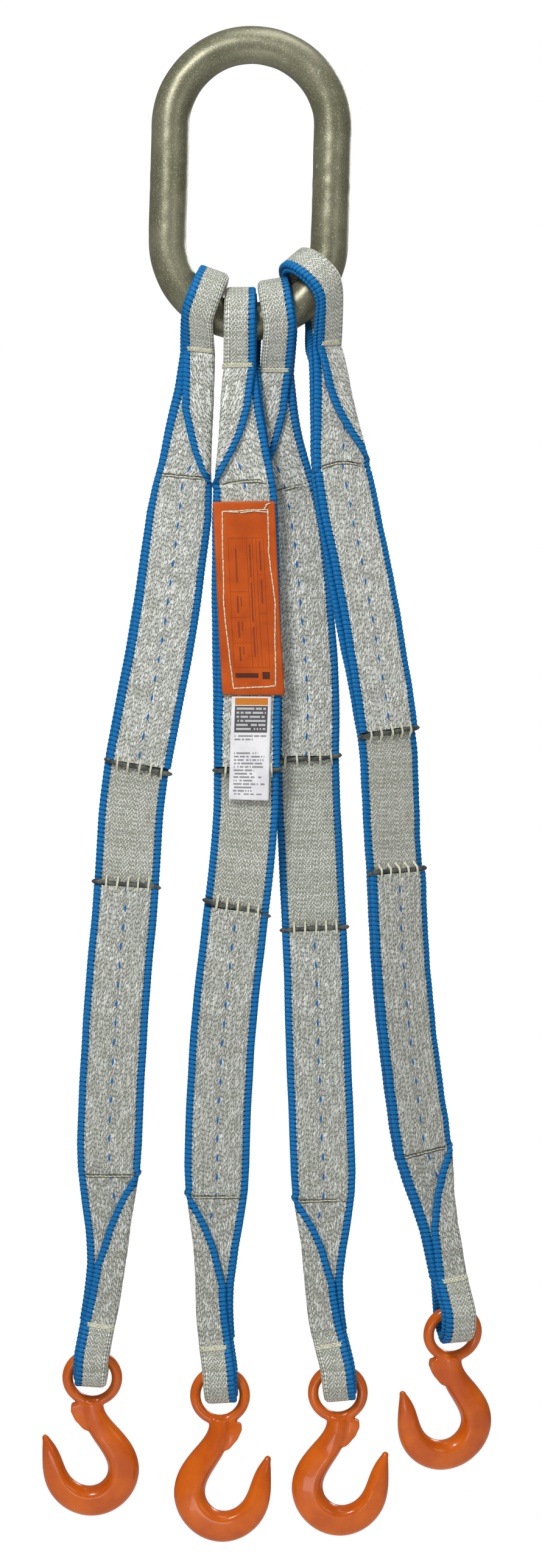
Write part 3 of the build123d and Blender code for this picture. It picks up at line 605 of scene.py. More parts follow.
# ---------------------------------------------------------------- materials
class Nodes:
    """Short names for building a node tree."""

    def __init__(self, name):
        self.mat = bpy.data.materials.new(name)
        self.mat.use_nodes = True
        self.t = self.mat.node_tree
        self.bsdf = self.t.nodes["Principled BSDF"]

    def put(self, sock, x):
        if isinstance(x, bpy.types.NodeSocket):
            self.t.links.new(x, sock)
        elif isinstance(x, (tuple, list)) and sock.type == "RGBA":
            sock.default_value = (*x, 1.0)[:4]
        else:
            sock.default_value = x

    def m(self, op, a, b=None, c=None, clamp=False):
        n = self.t.nodes.new("ShaderNodeMath")
        n.operation = op
        n.use_clamp = clamp
        for k, x in enumerate((a, b, c)):
            if x is not None:
                self.put(n.inputs[k], x)
        return n.outputs[0]

    def rng(self, x, a, b, c=0.0, d=1.0, smooth=True):
        n = self.t.nodes.new("ShaderNodeMapRange")
        n.interpolation_type = "SMOOTHSTEP" if smooth else "LINEAR"
        for k, q in enumerate((x, a, b, c, d)):
            self.put(n.inputs[k], q)
        return n.outputs[0]

    def mix(self, f, a, b):
        n = self.t.nodes.new("ShaderNodeMix")
        n.data_type = "RGBA"
        self.put(n.inputs[0], f)
        self.put(n.inputs[6], a)
        self.put(n.inputs[7], b)
        return n.outputs[2]

    def uv(self):
        n = self.t.nodes.new("ShaderNodeUVMap")
        n.uv_map = "weave"
        s = self.t.nodes.new("ShaderNodeSeparateXYZ")
        self.t.links.new(n.outputs[0], s.inputs[0])
        return self.m("MULTIPLY", s.outputs[0], 1000.0), self.m("MULTIPLY", s.outputs[1], 1000.0)

    def vec(self, x, y, z=0.0):
        n = self.t.nodes.new("ShaderNodeCombineXYZ")
        for k, q in enumerate((x, y, z)):
            self.put(n.inputs[k], q)
        return n.outputs[0]

    def noise(self, vec, scale, detail=2.0, rough=0.5, out=0):
        n = self.t.nodes.new("ShaderNodeTexNoise")
        self.put(n.inputs["Vector"], vec)
        n.inputs["Scale"].default_value = scale
        n.inputs["Detail"].default_value = detail
        n.inputs["Roughness"].default_value = rough
        return n.outputs[out]

    def white(self, vec):
        n = self.t.nodes.new("ShaderNodeTexWhiteNoise")
        n.noise_dimensions = "2D"
        self.put(n.inputs["Vector"], vec)
        return n.outputs["Value"]

    def obj(self):
        return self.t.nodes.new("ShaderNodeTexCoord").outputs["Object"]

    def bump(self, height, dist, strength=1.0, normal=None):
        n = self.t.nodes.new("ShaderNodeBump")
        self.put(n.inputs["Height"], height)
        n.inputs["Distance"].default_value = dist
        n.inputs["Strength"].default_value = strength
        if normal is not None:
            self.put(n.inputs["Normal"], normal)
        return n.outputs[0]

    def set(self, **kw):
        names = {"color": "Base Color", "rough": "Roughness", "metal": "Metallic", "normal": "Normal",
                 "coat": "Coat Weight", "coat_rough": "Coat Roughness", "sheen": "Sheen Weight",
                 "sheen_rough": "Sheen Roughness", "spec": "Specular IOR Level", "coat_normal": "Coat Normal"}
        for k, x in kw.items():
            self.put(self.bsdf.inputs[names[k]], x)
        return self.mat


def grains(n, U, V, cw, gl, chaos):
    """Rice-grain floats: columns cw wide, grains gl long. Returns (grain 0..1, a random number per grain)."""
    warp = n.noise(n.vec(n.m("MULTIPLY", U, 0.35), n.m("MULTIPLY", V, 0.16)), 1.0, 2.0)
    U1 = n.m("ADD", n.m("DIVIDE", U, cw), n.m("MULTIPLY", n.m("SUBTRACT", warp, 0.5), 1.6 * chaos))
    col = n.m("FLOOR", U1)
    rc = n.white(n.vec(col, 3.7))
    odd = n.m("MULTIPLY", n.m("FRACT", n.m("MULTIPLY", col, 0.5)), 1.0)
    V1 = n.m("ADD", n.m("ADD", n.m("DIVIDE", V, gl), odd), n.m("MULTIPLY", rc, 0.9 * chaos))
    row = n.m("FLOOR", V1)
    fu = n.m("SUBTRACT", n.m("FRACT", U1), 0.5)
    fv = n.m("SUBTRACT", n.m("FRACT", V1), 0.5)
    rnd = n.white(n.vec(col, row))
    lean = n.m("MULTIPLY", n.m("MULTIPLY", n.m("SUBTRACT", rnd, 0.5), 1.2 * chaos), fv)
    fu = n.m("ADD", fu, lean)
    du = n.m("DIVIDE", fu, 0.47)
    dv = n.m("DIVIDE", fv, 0.50)
    d = n.m("ADD", n.m("MULTIPLY", du, du), n.m("POWER", n.m("ABSOLUTE", dv), 3.0))
    return n.rng(d, 1.15, 0.45), rnd


def web_material(name, kind, dashes):
    """kind "double" is sewn through two plies and coarse, "single" is the plain weave."""
    n = Nodes(name)
    U0, V = n.uv()
    under = n.m("GREATER_THAN", U0, 100.0)
    U = n.m("SUBTRACT", U0, n.m("MULTIPLY", under, 200.0))
    au = n.m("ABSOLUTE", U)
    if kind == "double":
        g, rnd = grains(n, U, V, 1.02, 3.5, 0.8)
        g2, rnd2 = grains(n, n.m("ADD", U, 61.3), V, 1.25, 4.1, 1.0)
        top = n.m("MULTIPLY", g2, n.m("GREATER_THAN", rnd2, 0.66))
        grain = n.m("MAXIMUM", n.m("MULTIPLY", g, 0.82), top)
        # painted glints: grains with rnd above 0.72 get 0.18 more brightness on top of their random tone
        lively = n.m("ADD", n.rng(rnd, 0.0, 1.0, 0.60, 0.98, False), n.m("MULTIPLY", n.m("GREATER_THAN", rnd, 0.72), 0.18))
        light, dark = (0.84, 0.86, 0.81), (0.14, 0.15, 0.105)
        # darker towards the bottom: lively falls from V 470 to 740 mm
        lively = n.m("MULTIPLY", lively, n.rng(V, 470.0, 740.0, 1.04, 0.76, False))
    else:
        g, rnd = grains(n, U, V, 1.12, 3.1, 0.42)
        grain = g
        lively = n.rng(rnd, 0.0, 1.0, 0.62, 1.14, False)
        light, dark = (0.76, 0.78, 0.72), (0.16, 0.17, 0.105)
    big = n.noise(n.vec(n.m("MULTIPLY", U, 0.03), n.m("MULTIPLY", V, 0.11)), 1.0, 3.0, 0.6)
    lively = n.m("MULTIPLY", lively, n.rng(big, 0.25, 0.75, 0.80, 1.14, False))
    if kind == "single":
        rowvar = n.noise(n.vec(0.0, V, 2.0), 0.35, 2.0, 0.6)
        lively = n.m("MULTIPLY", lively, n.rng(rowvar, 0.3, 0.7, 0.66, 1.22, False))
    fine = n.noise(n.vec(n.m("MULTIPLY", U, 4.0), n.m("MULTIPLY", V, 0.9)), 1.0, 2.0, 0.6)
    lively = n.m("MULTIPLY", lively, n.rng(fine, 0.3, 0.7, 0.88, 1.08, False))
    body = n.mix(n.m("MULTIPLY", grain, lively, clamp=True), dark, light)
    # blue selvedge, with painted shade in the valleys between its ribs and in the notches inside it
    rib = n.m("ABSOLUTE", n.m("SINE", n.m("ADD", n.m("MULTIPLY", V, math.pi / RIB), n.m("MULTIPLY", n.m("SUBTRACT", au, 22.0), 0.12))))
    wide = n.rng(n.noise(n.vec(0.0, V, 5.0), 0.6, 1.0), 0.3, 0.7, -0.25, 0.25, False)
    inside = n.m("ADD", n.m("SUBTRACT", au, 19.45), wide)
    sel = n.rng(inside, -0.12, 0.12)
    fil = n.noise(n.vec(n.m("MULTIPLY", au, 2.2), n.m("MULTIPLY", V, 0.5)), 1.0, 2.0, 0.55)
    # painted shade: darker blue in the rib valleys
    bl = n.mix(n.rng(rib, 0.08, 0.72), (0.0004, 0.024, 0.080), (0.001, 0.150, 0.43))
    bl = n.mix(n.rng(fil, 0.40, 0.68, 0.0, 0.40), bl, (0.004, 0.25, 0.60))
    # painted shade: near black where the notch groove meets a rib valley
    notch = n.m("MULTIPLY", n.rng(rib, 0.62, 0.25), n.rng(n.m("ABSOLUTE", n.m("SUBTRACT", au, 19.7)), 1.35, 0.5))
    col = n.mix(sel, body, bl)
    col = n.mix(notch, col, (0.008, 0.010, 0.016))
    height = n.mix(sel, grain, n.m("MULTIPLY", rib, 0.7))
    if dashes:
        fr = n.m("FRACT", n.m("DIVIDE", n.m("ADD", V, 3.0), 14.7))
        t = n.m("DIVIDE", n.m("ABSOLUTE", n.m("SUBTRACT", fr, 0.30)), 0.24)
        wv = n.m("MULTIPLY", n.m("SUBTRACT", n.noise(n.vec(0.0, V, 9.0), 0.03, 1.0), 0.5), 2.2)
        off = n.m("ABSOLUTE", n.m("ADD", U, wv))
        wdt = n.m("MULTIPLY", n.m("SUBTRACT", 1.0, n.m("POWER", t, 1.8)), 0.98)
        dash = n.m("MULTIPLY", n.rng(n.m("SUBTRACT", wdt, off), 0.0, 0.25), n.m("SUBTRACT", 1.0, under))
        col = n.mix(dash, col, (0.001, 0.13, 0.42))
    nrm = n.bump(height, 0.00042, 0.95)
    nrm = n.bump(fine, 0.00012, 0.5, nrm)
    return n.set(color=col, rough=n.rng(grain, 0, 1, 0.72, 0.46, False), normal=nrm, spec=n.m("SUBTRACT", 0.5, n.m("MULTIPLY", sel, 0.32)),
                 sheen=n.m("MULTIPLY", n.m("SUBTRACT", 1.0, sel), 0.10), sheen_rough=0.4)


def thread_material(name="thread_cream", base=(0.72, 0.71, 0.55)):
    n = Nodes(name)
    o = n.obj()
    ns = n.noise(o, 900.0, 2.0, 0.6)
    tw = n.noise(o, 2600.0, 1.0, 0.5)
    col = n.mix(n.rng(ns, 0.3, 0.7), tuple(0.72 * c for c in base), tuple(min(1.0, 1.12 * c) for c in base))
    return n.set(color=col, rough=n.rng(ns, 0.3, 0.7, 0.45, 0.65, False), normal=n.bump(tw, 0.0002, 0.7), spec=0.4)


def cut_end_material():
    n = Nodes("cut_end_dark")
    o = n.obj()
    ns = n.noise(o, 160.0, 3.0, 0.6)
    n2 = n.noise(o, 900.0, 2.0, 0.6)
    col = n.mix(n.rng(ns, 0.35, 0.68), (0.018, 0.022, 0.022), (0.115, 0.12, 0.095))
    col = n.mix(n.rng(n2, 0.62, 0.75, 0, 0.5), col, (0.22, 0.23, 0.19))
    return n.set(color=col, rough=n.rng(n2, 0.3, 0.7, 0.38, 0.7, False), normal=n.bump(ns, 0.0008, 0.8), spec=0.45)


def hook_material():
    n = Nodes("hook_orange")
    o = n.obj()
    big = n.noise(o, 38.0, 3.0, 0.55)
    peel = n.noise(o, 420.0, 2.0, 0.5)
    chip = n.noise(o, 260.0, 4.0, 0.7)
    col = n.mix(n.rng(big, 0.3, 0.7), (0.53, 0.082, 0.0), (0.68, 0.128, 0.0))
    spot = n.rng(chip, 0.735, 0.765)
    col = n.mix(n.m("MULTIPLY", spot, 0.85), col, (0.05, 0.028, 0.018))
    nrm = n.bump(big, 0.0011, 0.45)
    nrm = n.bump(peel, 0.00010, 0.5, nrm)
    nrm = n.bump(spot, -0.0002, 0.7, nrm)
    return n.set(color=col, rough=n.rng(big, 0.3, 0.7, 0.24, 0.34, False), normal=nrm, coat=0.40, coat_rough=0.08, spec=0.25)


def link_material():
    n = Nodes("link_steel")
    o = n.obj()
    big = n.noise(o, 26.0, 4.0, 0.6)
    grit = n.noise(o, 900.0, 3.0, 0.65)
    mark = n.noise(o, 230.0, 4.0, 0.72)
    col = n.mix(n.rng(big, 0.3, 0.7), (0.140, 0.136, 0.078), (0.225, 0.218, 0.140))
    col = n.mix(n.rng(grit, 0.55, 0.70, 0, 0.75), col, (0.50, 0.49, 0.38))
    pit = n.rng(mark, 0.69, 0.73)
    col = n.mix(pit, col, (0.035, 0.033, 0.026))
    rub = n.rng(n.noise(o, 90.0, 5.0, 0.75), 0.66, 0.72)
    col = n.mix(n.m("MULTIPLY", rub, 0.7), col, (0.52, 0.52, 0.45))
    nrm = n.bump(big, 0.0010, 0.5)
    nrm = n.bump(grit, 0.00016, 0.6, nrm)
    nrm = n.bump(pit, -0.0005, 0.8, nrm)
    return n.set(color=col, rough=n.rng(grit, 0.3, 0.7, 0.30, 0.46, False), metal=0.45, normal=nrm, spec=0.7)


def boxes_mask(n, U, V, boxes):
    out = None
    for x0, x1, y0, y1 in boxes:
        a = n.m("MULTIPLY", n.m("GREATER_THAN", U, x0), n.m("LESS_THAN", U, x1))
        b = n.m("MULTIPLY", n.m("GREATER_THAN", V, y0), n.m("LESS_THAN", V, y1))
        q = n.m("MULTIPLY", a, b)
        out = q if out is None else n.m("MAXIMUM", out, q)
    return out


def tag_material():
    """Orange vinyl with a plain ruled table; U across, V down from the top edge, in millimetres."""
    n = Nodes("tag_orange")
    U, V = n.uv()
    o = n.obj()
    big = n.noise(o, 60.0, 3.0, 0.5)
    fine = n.noise(o, 1400.0, 2.0, 0.6)
    col = n.mix(n.rng(big, 0.3, 0.7), (0.43, 0.060, 0.0), (0.54, 0.085, 0.002))
    line = 0.16
    rows = []

    def vert(x, y0, y1):
        rows.append((x - line, x + line, y0, y1))

    def hori(x0, x1, y):
        rows.append((x0, x1, y - line, y + line))

    vert(-13.6, 28, 127); vert(13.6, 28, 127); vert(0.7, 28, 127); vert(7.9, 28, 127); vert(5.0, 28, 127)
    hori(-13.6, 13.6, 28); hori(-13.6, 13.6, 127); hori(-13.6, 0.7, 69); hori(-13.6, 0.7, 88.5); hori(-13.6, 0.7, 108)
    hori(7.9, 13.6, 56); hori(7.9, 13.6, 86)
    mask = boxes_mask(n, U, V, rows)
    # plain bars stand for the filled-in entries
    ink = boxes_mask(n, U, V, [(-9.0, -7.6, 72, 85), (-9.0, -7.6, 91.5, 104), (-9.0, -7.6, 111, 122), (-6.0, -5.1, 73, 80),
                               (-6.0, -5.1, 92, 99), (-6.0, -5.1, 111, 117), (10.1, 11.4, 31, 53), (10.1, 11.4, 60, 78),
                               (2.3, 3.5, 33, 58), (2.3, 3.5, 62, 92), (2.3, 3.5, 96, 119), (-8.6, -7.4, 36, 62)])
    bars = boxes_mask(n, U, V, [(-13.0, 4.6, 131.2, 134.8), (7.6, 13.4, 130.2, 135.8)])
    col = n.mix(n.m("MULTIPLY", mask, 0.8), col, (0.16, 0.018, 0.006))
    col = n.mix(n.m("MULTIPLY", ink, 0.62), col, (0.10, 0.020, 0.012))
    col = n.mix(n.m("MULTIPLY", bars, 0.9), col, (0.035, 0.012, 0.010))
    nrm = n.bump(big, 0.0009, 0.5)
    nrm = n.bump(fine, 0.00005, 0.5, nrm)
    return n.set(color=col, rough=n.rng(fine, 0.3, 0.7, 0.40, 0.52, False), normal=nrm, spec=0.32)


def label_material():
    """White film with a plain orange header, a dark panel and rows of grey strokes in place of words."""
    n = Nodes("label_white")
    U, V = n.uv()
    o = n.obj()
    big = n.noise(o, 70.0, 3.0, 0.5)
    col = n.mix(n.rng(big, 0.3, 0.7), (0.74, 0.73, 0.76), (0.86, 0.85, 0.87))
    head = boxes_mask(n, U, V, [(-12.6, 12.6, 1.2, 6.6)])
    panel = boxes_mask(n, U, V, [(-12.6, 12.6, 7.2, 27.6)])

    def strokes(pitch, y0, cell):
        line = n.m("LESS_THAN", n.m("FRACT", n.m("DIVIDE", n.m("SUBTRACT", V, y0), pitch)), 0.50)
        r = n.m("FLOOR", n.m("DIVIDE", n.m("SUBTRACT", V, y0), pitch))
        w = n.white(n.vec(n.m("FLOOR", n.m("DIVIDE", U, cell)), r))
        return n.m("MULTIPLY", line, n.m("GREATER_THAN", w, 0.24)), r

    s1, _ = strokes(3.1, 8.6, 1.15)
    in1 = boxes_mask(n, U, V, [(-11.2, 11.2, 8.4, 27.0)])
    s2, r2 = strokes(2.62, 29.6, 0.95)
    right = n.m("ADD", n.m("MULTIPLY", n.white(n.vec(r2, 4.4)), 12.0), 1.0)
    in2 = n.m("MULTIPLY", boxes_mask(n, U, V, [(-12.2, 13.0, 29.6, 75.2)]), n.m("LESS_THAN", U, right))
    gaps = n.m("GREATER_THAN", n.white(n.vec(r2, 8.1)), 0.14)
    col = n.mix(head, col, (0.62, 0.20, 0.02))
    col = n.mix(panel, col, (0.085, 0.085, 0.09))
    col = n.mix(n.m("MULTIPLY", n.m("MULTIPLY", s1, in1), 0.85), col, (0.62, 0.62, 0.63))
    col = n.mix(n.m("MULTIPLY", n.m("MULTIPLY", n.m("MULTIPLY", s2, in2), gaps), 0.75), col, (0.10, 0.10, 0.11))
    return n.set(color=col, rough=n.rng(big, 0.3, 0.7, 0.30, 0.42, False), normal=n.bump(big, 0.0006, 0.5), spec=0.5)


def floor_material():
    n = Nodes("studio_floor")
    ns = n.noise(n.obj(), 3.0, 2.0)
    n.set(color=n.mix(ns, (0.90, 0.90, 0.90), (0.93, 0.93, 0.93)), rough=0.9)
    n.put(n.bsdf.inputs["Emission Color"], (1.0, 1.0, 1.0))
    n.bsdf.inputs["Emission Strength"].default_value = 0.12
    return n.mat


M_TAIL = web_material("web_sewn_front", "double", True)
M_SEWN = web_material("web_sewn", "double", False)
M_PLAIN = web_material("web_plain", "single", False)
M_THREAD = thread_material()
M_ZIG = thread_material("thread_silver", (0.62, 0.64, 0.58))
M_CUT_END_AND_SEAM_SHADOW = cut_end_material()
M_HOOK = hook_material()
M_LINK = link_material()
M_TAG = tag_material()
M_LABEL = label_material()


# ---------------------------------------------------------------- webs
def finish_piece(ob, body=None, nodes=(), blend=None):
    if blend:
        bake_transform(ob)
    else:
        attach(ob, body)
    if nodes:
        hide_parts(*nodes)
    return ob


def sheet_object(sheet, name, mat):
    v, f, uv = sheet.mesh()
    return make_object(name, v, orient(v, f), uv, mat)


def stitch(parts, pts, r=0.42, sides=6):
    """One thread along points, rounded between them."""
    p = np.asarray(pts, float)
    s = np.linspace(0, len(p) - 1, 2 * len(p) + 1)
    fine = np.stack([np.interp(s, np.arange(len(p)), p[:, c]) for c in range(3)], 1)
    fine[1:-1] = (fine[:-2] + 2 * fine[1:-1] + fine[2:]) / 4
    parts.add(*tube(fine, r, sides))


def zigzag(parts, i, z0, z1, face_off, seed):
    """Rows of sewing down a ply: slanted threads that dip into the web at both ends."""
    leg = legs[i]
    P, U, O = [], [], []
    zz, uu, oo = [], [], []
    for k, u0 in enumerate((-16.2, -12.4, -8.6, -4.8, 4.8, 8.6, 12.4, 16.2)):
        m = int(abs(z1 - z0 - 8) / 3.1)
        for j in range(m):
            z = z0 - 4 - 3.1 * (j + 0.5 * (k % 2))
            if z < z1 + 3:
                continue
            s = 1 if j % 2 else -1
            r1, r2 = hash01(k, j, seed), hash01(j, seed, k)
            w = 0.55 + 0.4 * r1
            hgt = 1.45 + 0.5 * r2
            for q, o in ((-1.0, -0.5), (-0.4, 0.02), (0.4, 0.02), (1.0, -0.5)):
                zz.append(z - q * hgt)
                uu.append(u0 + s * q * w + 0.5 * (r2 - 0.5))
                oo.append(face_off + o)
    if not zz:
        return
    zz, uu, oo = np.array(zz), np.array(uu), np.array(oo)
    k = web_width(i, zz) / WEB_W
    uu = uu * k + 0.5 * leg.read(zz)[:, 3]
    rip = ripple_at(i, zz, uu)
    pts = leg.at(zz, uu, oo + rip).reshape(-1, 4, 3)
    for q in pts:
        parts.add(*tube(q, 0.33, 5, caps=False))


def cut_roll(i, zc, shift_k, slope, seed):
    """The heat-sealed, rolled end of a returned ply."""
    leg = legs[i]
    s = np.linspace(-1, 1, 61)
    half = web_width(i, zc)[()] / 2 + 2.0
    u = s * half
    tip = np.clip((1 - np.abs(s)) * half / 3.2, 0, 1)
    r = 2.05 * (0.22 + 0.78 * np.sqrt(tip)) * (1 + 0.09 * np.sin(u / 2.3 + seed) + 0.05 * np.sin(u / 0.9 + 2 * seed))
    z = zc + slope * u + 0.45 * np.sin(u / 5.0 + seed) - 0.25
    sh = shift_k * leg.read(np.full(61, zc))[:, 3]
    pts = leg.at(z, u + sh, WEB_T / 2 + 0.1 + 0.25 * np.sin(u / 4.0 + seed))
    _, t, _, n = leg.frame(np.full(61, zc))
    return tube(pts, r, 14, squash=1.0, up=n)


def whips(parts, i, zc, shift_k, slope, down, us, seed):
    """Whip stitches over the rolled end: from the ply's face, over the roll, to the web below (down -1) or above."""
    leg = legs[i]
    for k, u in enumerate(us):
        lean = 1.6 * (hash01(k, seed, i) - 0.35)
        for strand in range(2):
            du = 0.75 * strand + 0.25 * hash01(k, strand, seed)
            dz = 0.6 * strand
            path = []
            for t, off in ((5.6, 4.05), (4.2, 4.55), (2.0, 4.75), (0.2, 4.95), (-1.6, 4.75), (-2.7, 3.2), (-3.4, 1.2), (-4.6, 0.45),
                           (-5.6, -0.2)):
                z = zc + slope * u - down * (t - dz)
                uu = u + du + lean * (1 - t / 5.6) * 0.6
                path.append(leg.at(z, uu + shift_k * leg.read(zc)[0, 3], off)[0])
            parts.add(*tube(smooth_rows(np.array(path), 0.7), 0.50, 6))


def bar_tack(parts, sheet, u0, u1, v, face, seed, slope=0.0):
    """A dense band of zigzag thread across a folded eye."""
    n = int((u1 - u0) / 1.15)
    for k in range(n):
        u = u0 + (u1 - u0) * (k + 0.5) / n
        vv = v + slope * (u - (u0 + u1) / 2)
        a = 1.35 + 0.5 * hash01(k, seed)
        s = 1 if k % 2 else -1
        pts = sheet.at([u - 1.5, u - 0.6, u + 0.6, u + 1.5], [vv - s * a, vv - s * a * 0.45, vv + s * a * 0.45, vv + s * a],
                       face, [-0.1, 0.5, 0.5, -0.1])
        parts.add(*tube(pts, 0.42, 6))
    for row in (-1.15, 0.2, 1.3):
        us = np.linspace(u0 - 0.5, u1 + 0.5, 15)
        w = 0.35 * np.sin(us * 1.9 + row * 3 + seed)
        pts = sheet.at(us, v + slope * (us - (u0 + u1) / 2) + row + w, face, 0.42 + 0.25 * np.sin(us * 2.4 + row))
        parts.add(*tube(pts, 0.46, 6))


def seam(parts, i, zfun, u0, u1, off, seed, pitch=3.4, dark=None):
    """A line of lock stitches across the web: threads that dip between stitches. Strands put into dark, if given, are
    painted shadow along the seam's groove.
    """
    leg = legs[i]
    us = np.arange(u0, u1 - pitch * 0.6, pitch)
    if dark is not None:      # painted shadow: dark strands along the seam's groove, above and below the stitches, not a thread
        for dz, r in ((1.15, 0.36), (-1.05, 0.26)):
            uu = np.linspace(u0 - 0.5, u1 + 0.5, 40)
            z = zfun(uu) + dz + 0.18 * np.sin(uu / 1.7 + seed)
            dark.add(*tube(leg.at(z, uu, off + 0.12 + ripple_at(i, z, uu)), r, 6))
    for k, u in enumerate(us):
        q = np.array([0.0, 0.25, 0.6, 1.0]) * (pitch * 1.02)
        uu = u + q
        z = zfun(uu) + 0.35 * (hash01(k, seed) - 0.5) + np.array([0.25, 0.1, -0.1, -0.25])
        rip = ripple_at(i, z, uu)
        pts = leg.at(z, uu, np.array([off - 0.35, off + 0.5, off + 0.5, off - 0.35]) + rip)
        parts.add(*tube(pts, 0.56, 6))


def ripple_at(i, z, u):
    return (0.28 * np.sin(z / 9.3 + 1.3 * i + 0.05 * u) * np.sin(z / 41.0 + i)
            + 0.16 * np.sin(z / 4.1 + 0.7 * i + 0.08 * u) + pucker(i, z, u))


FACE = WEB_T + 0.02          # front face of the front ply, in front of the middle line
SEAMS = {1: lambda u: LEGS[1]["seam"] + 0.4 + 0.03 * u,
         2: lambda u: LEGS[2]["seam"] + 0.6 - 0.006 * u * u + 0.06 * u,
         3: lambda u: LEGS[3]["seam"] + 0.5 + 0.13 * u - 0.006 * u * u,
         4: lambda u: LEGS[4]["seam"] + 0.2 - 0.010 * u * u - 0.05 * u}
SLOPE = {1: (-0.06, -0.02), 2: (0.02, -0.11), 3: (0.085, 0.01), 4: (0.02, 0.0)}
PEEK = {1: 1.6, 2: 3.2, 3: 1.0, 4: 1.5}
TACK_U = {1: (3.0, 21.0), 2: (-1.0, 22.0), 3: (3.0, 22.0), 4: (5.0, 21.5)}

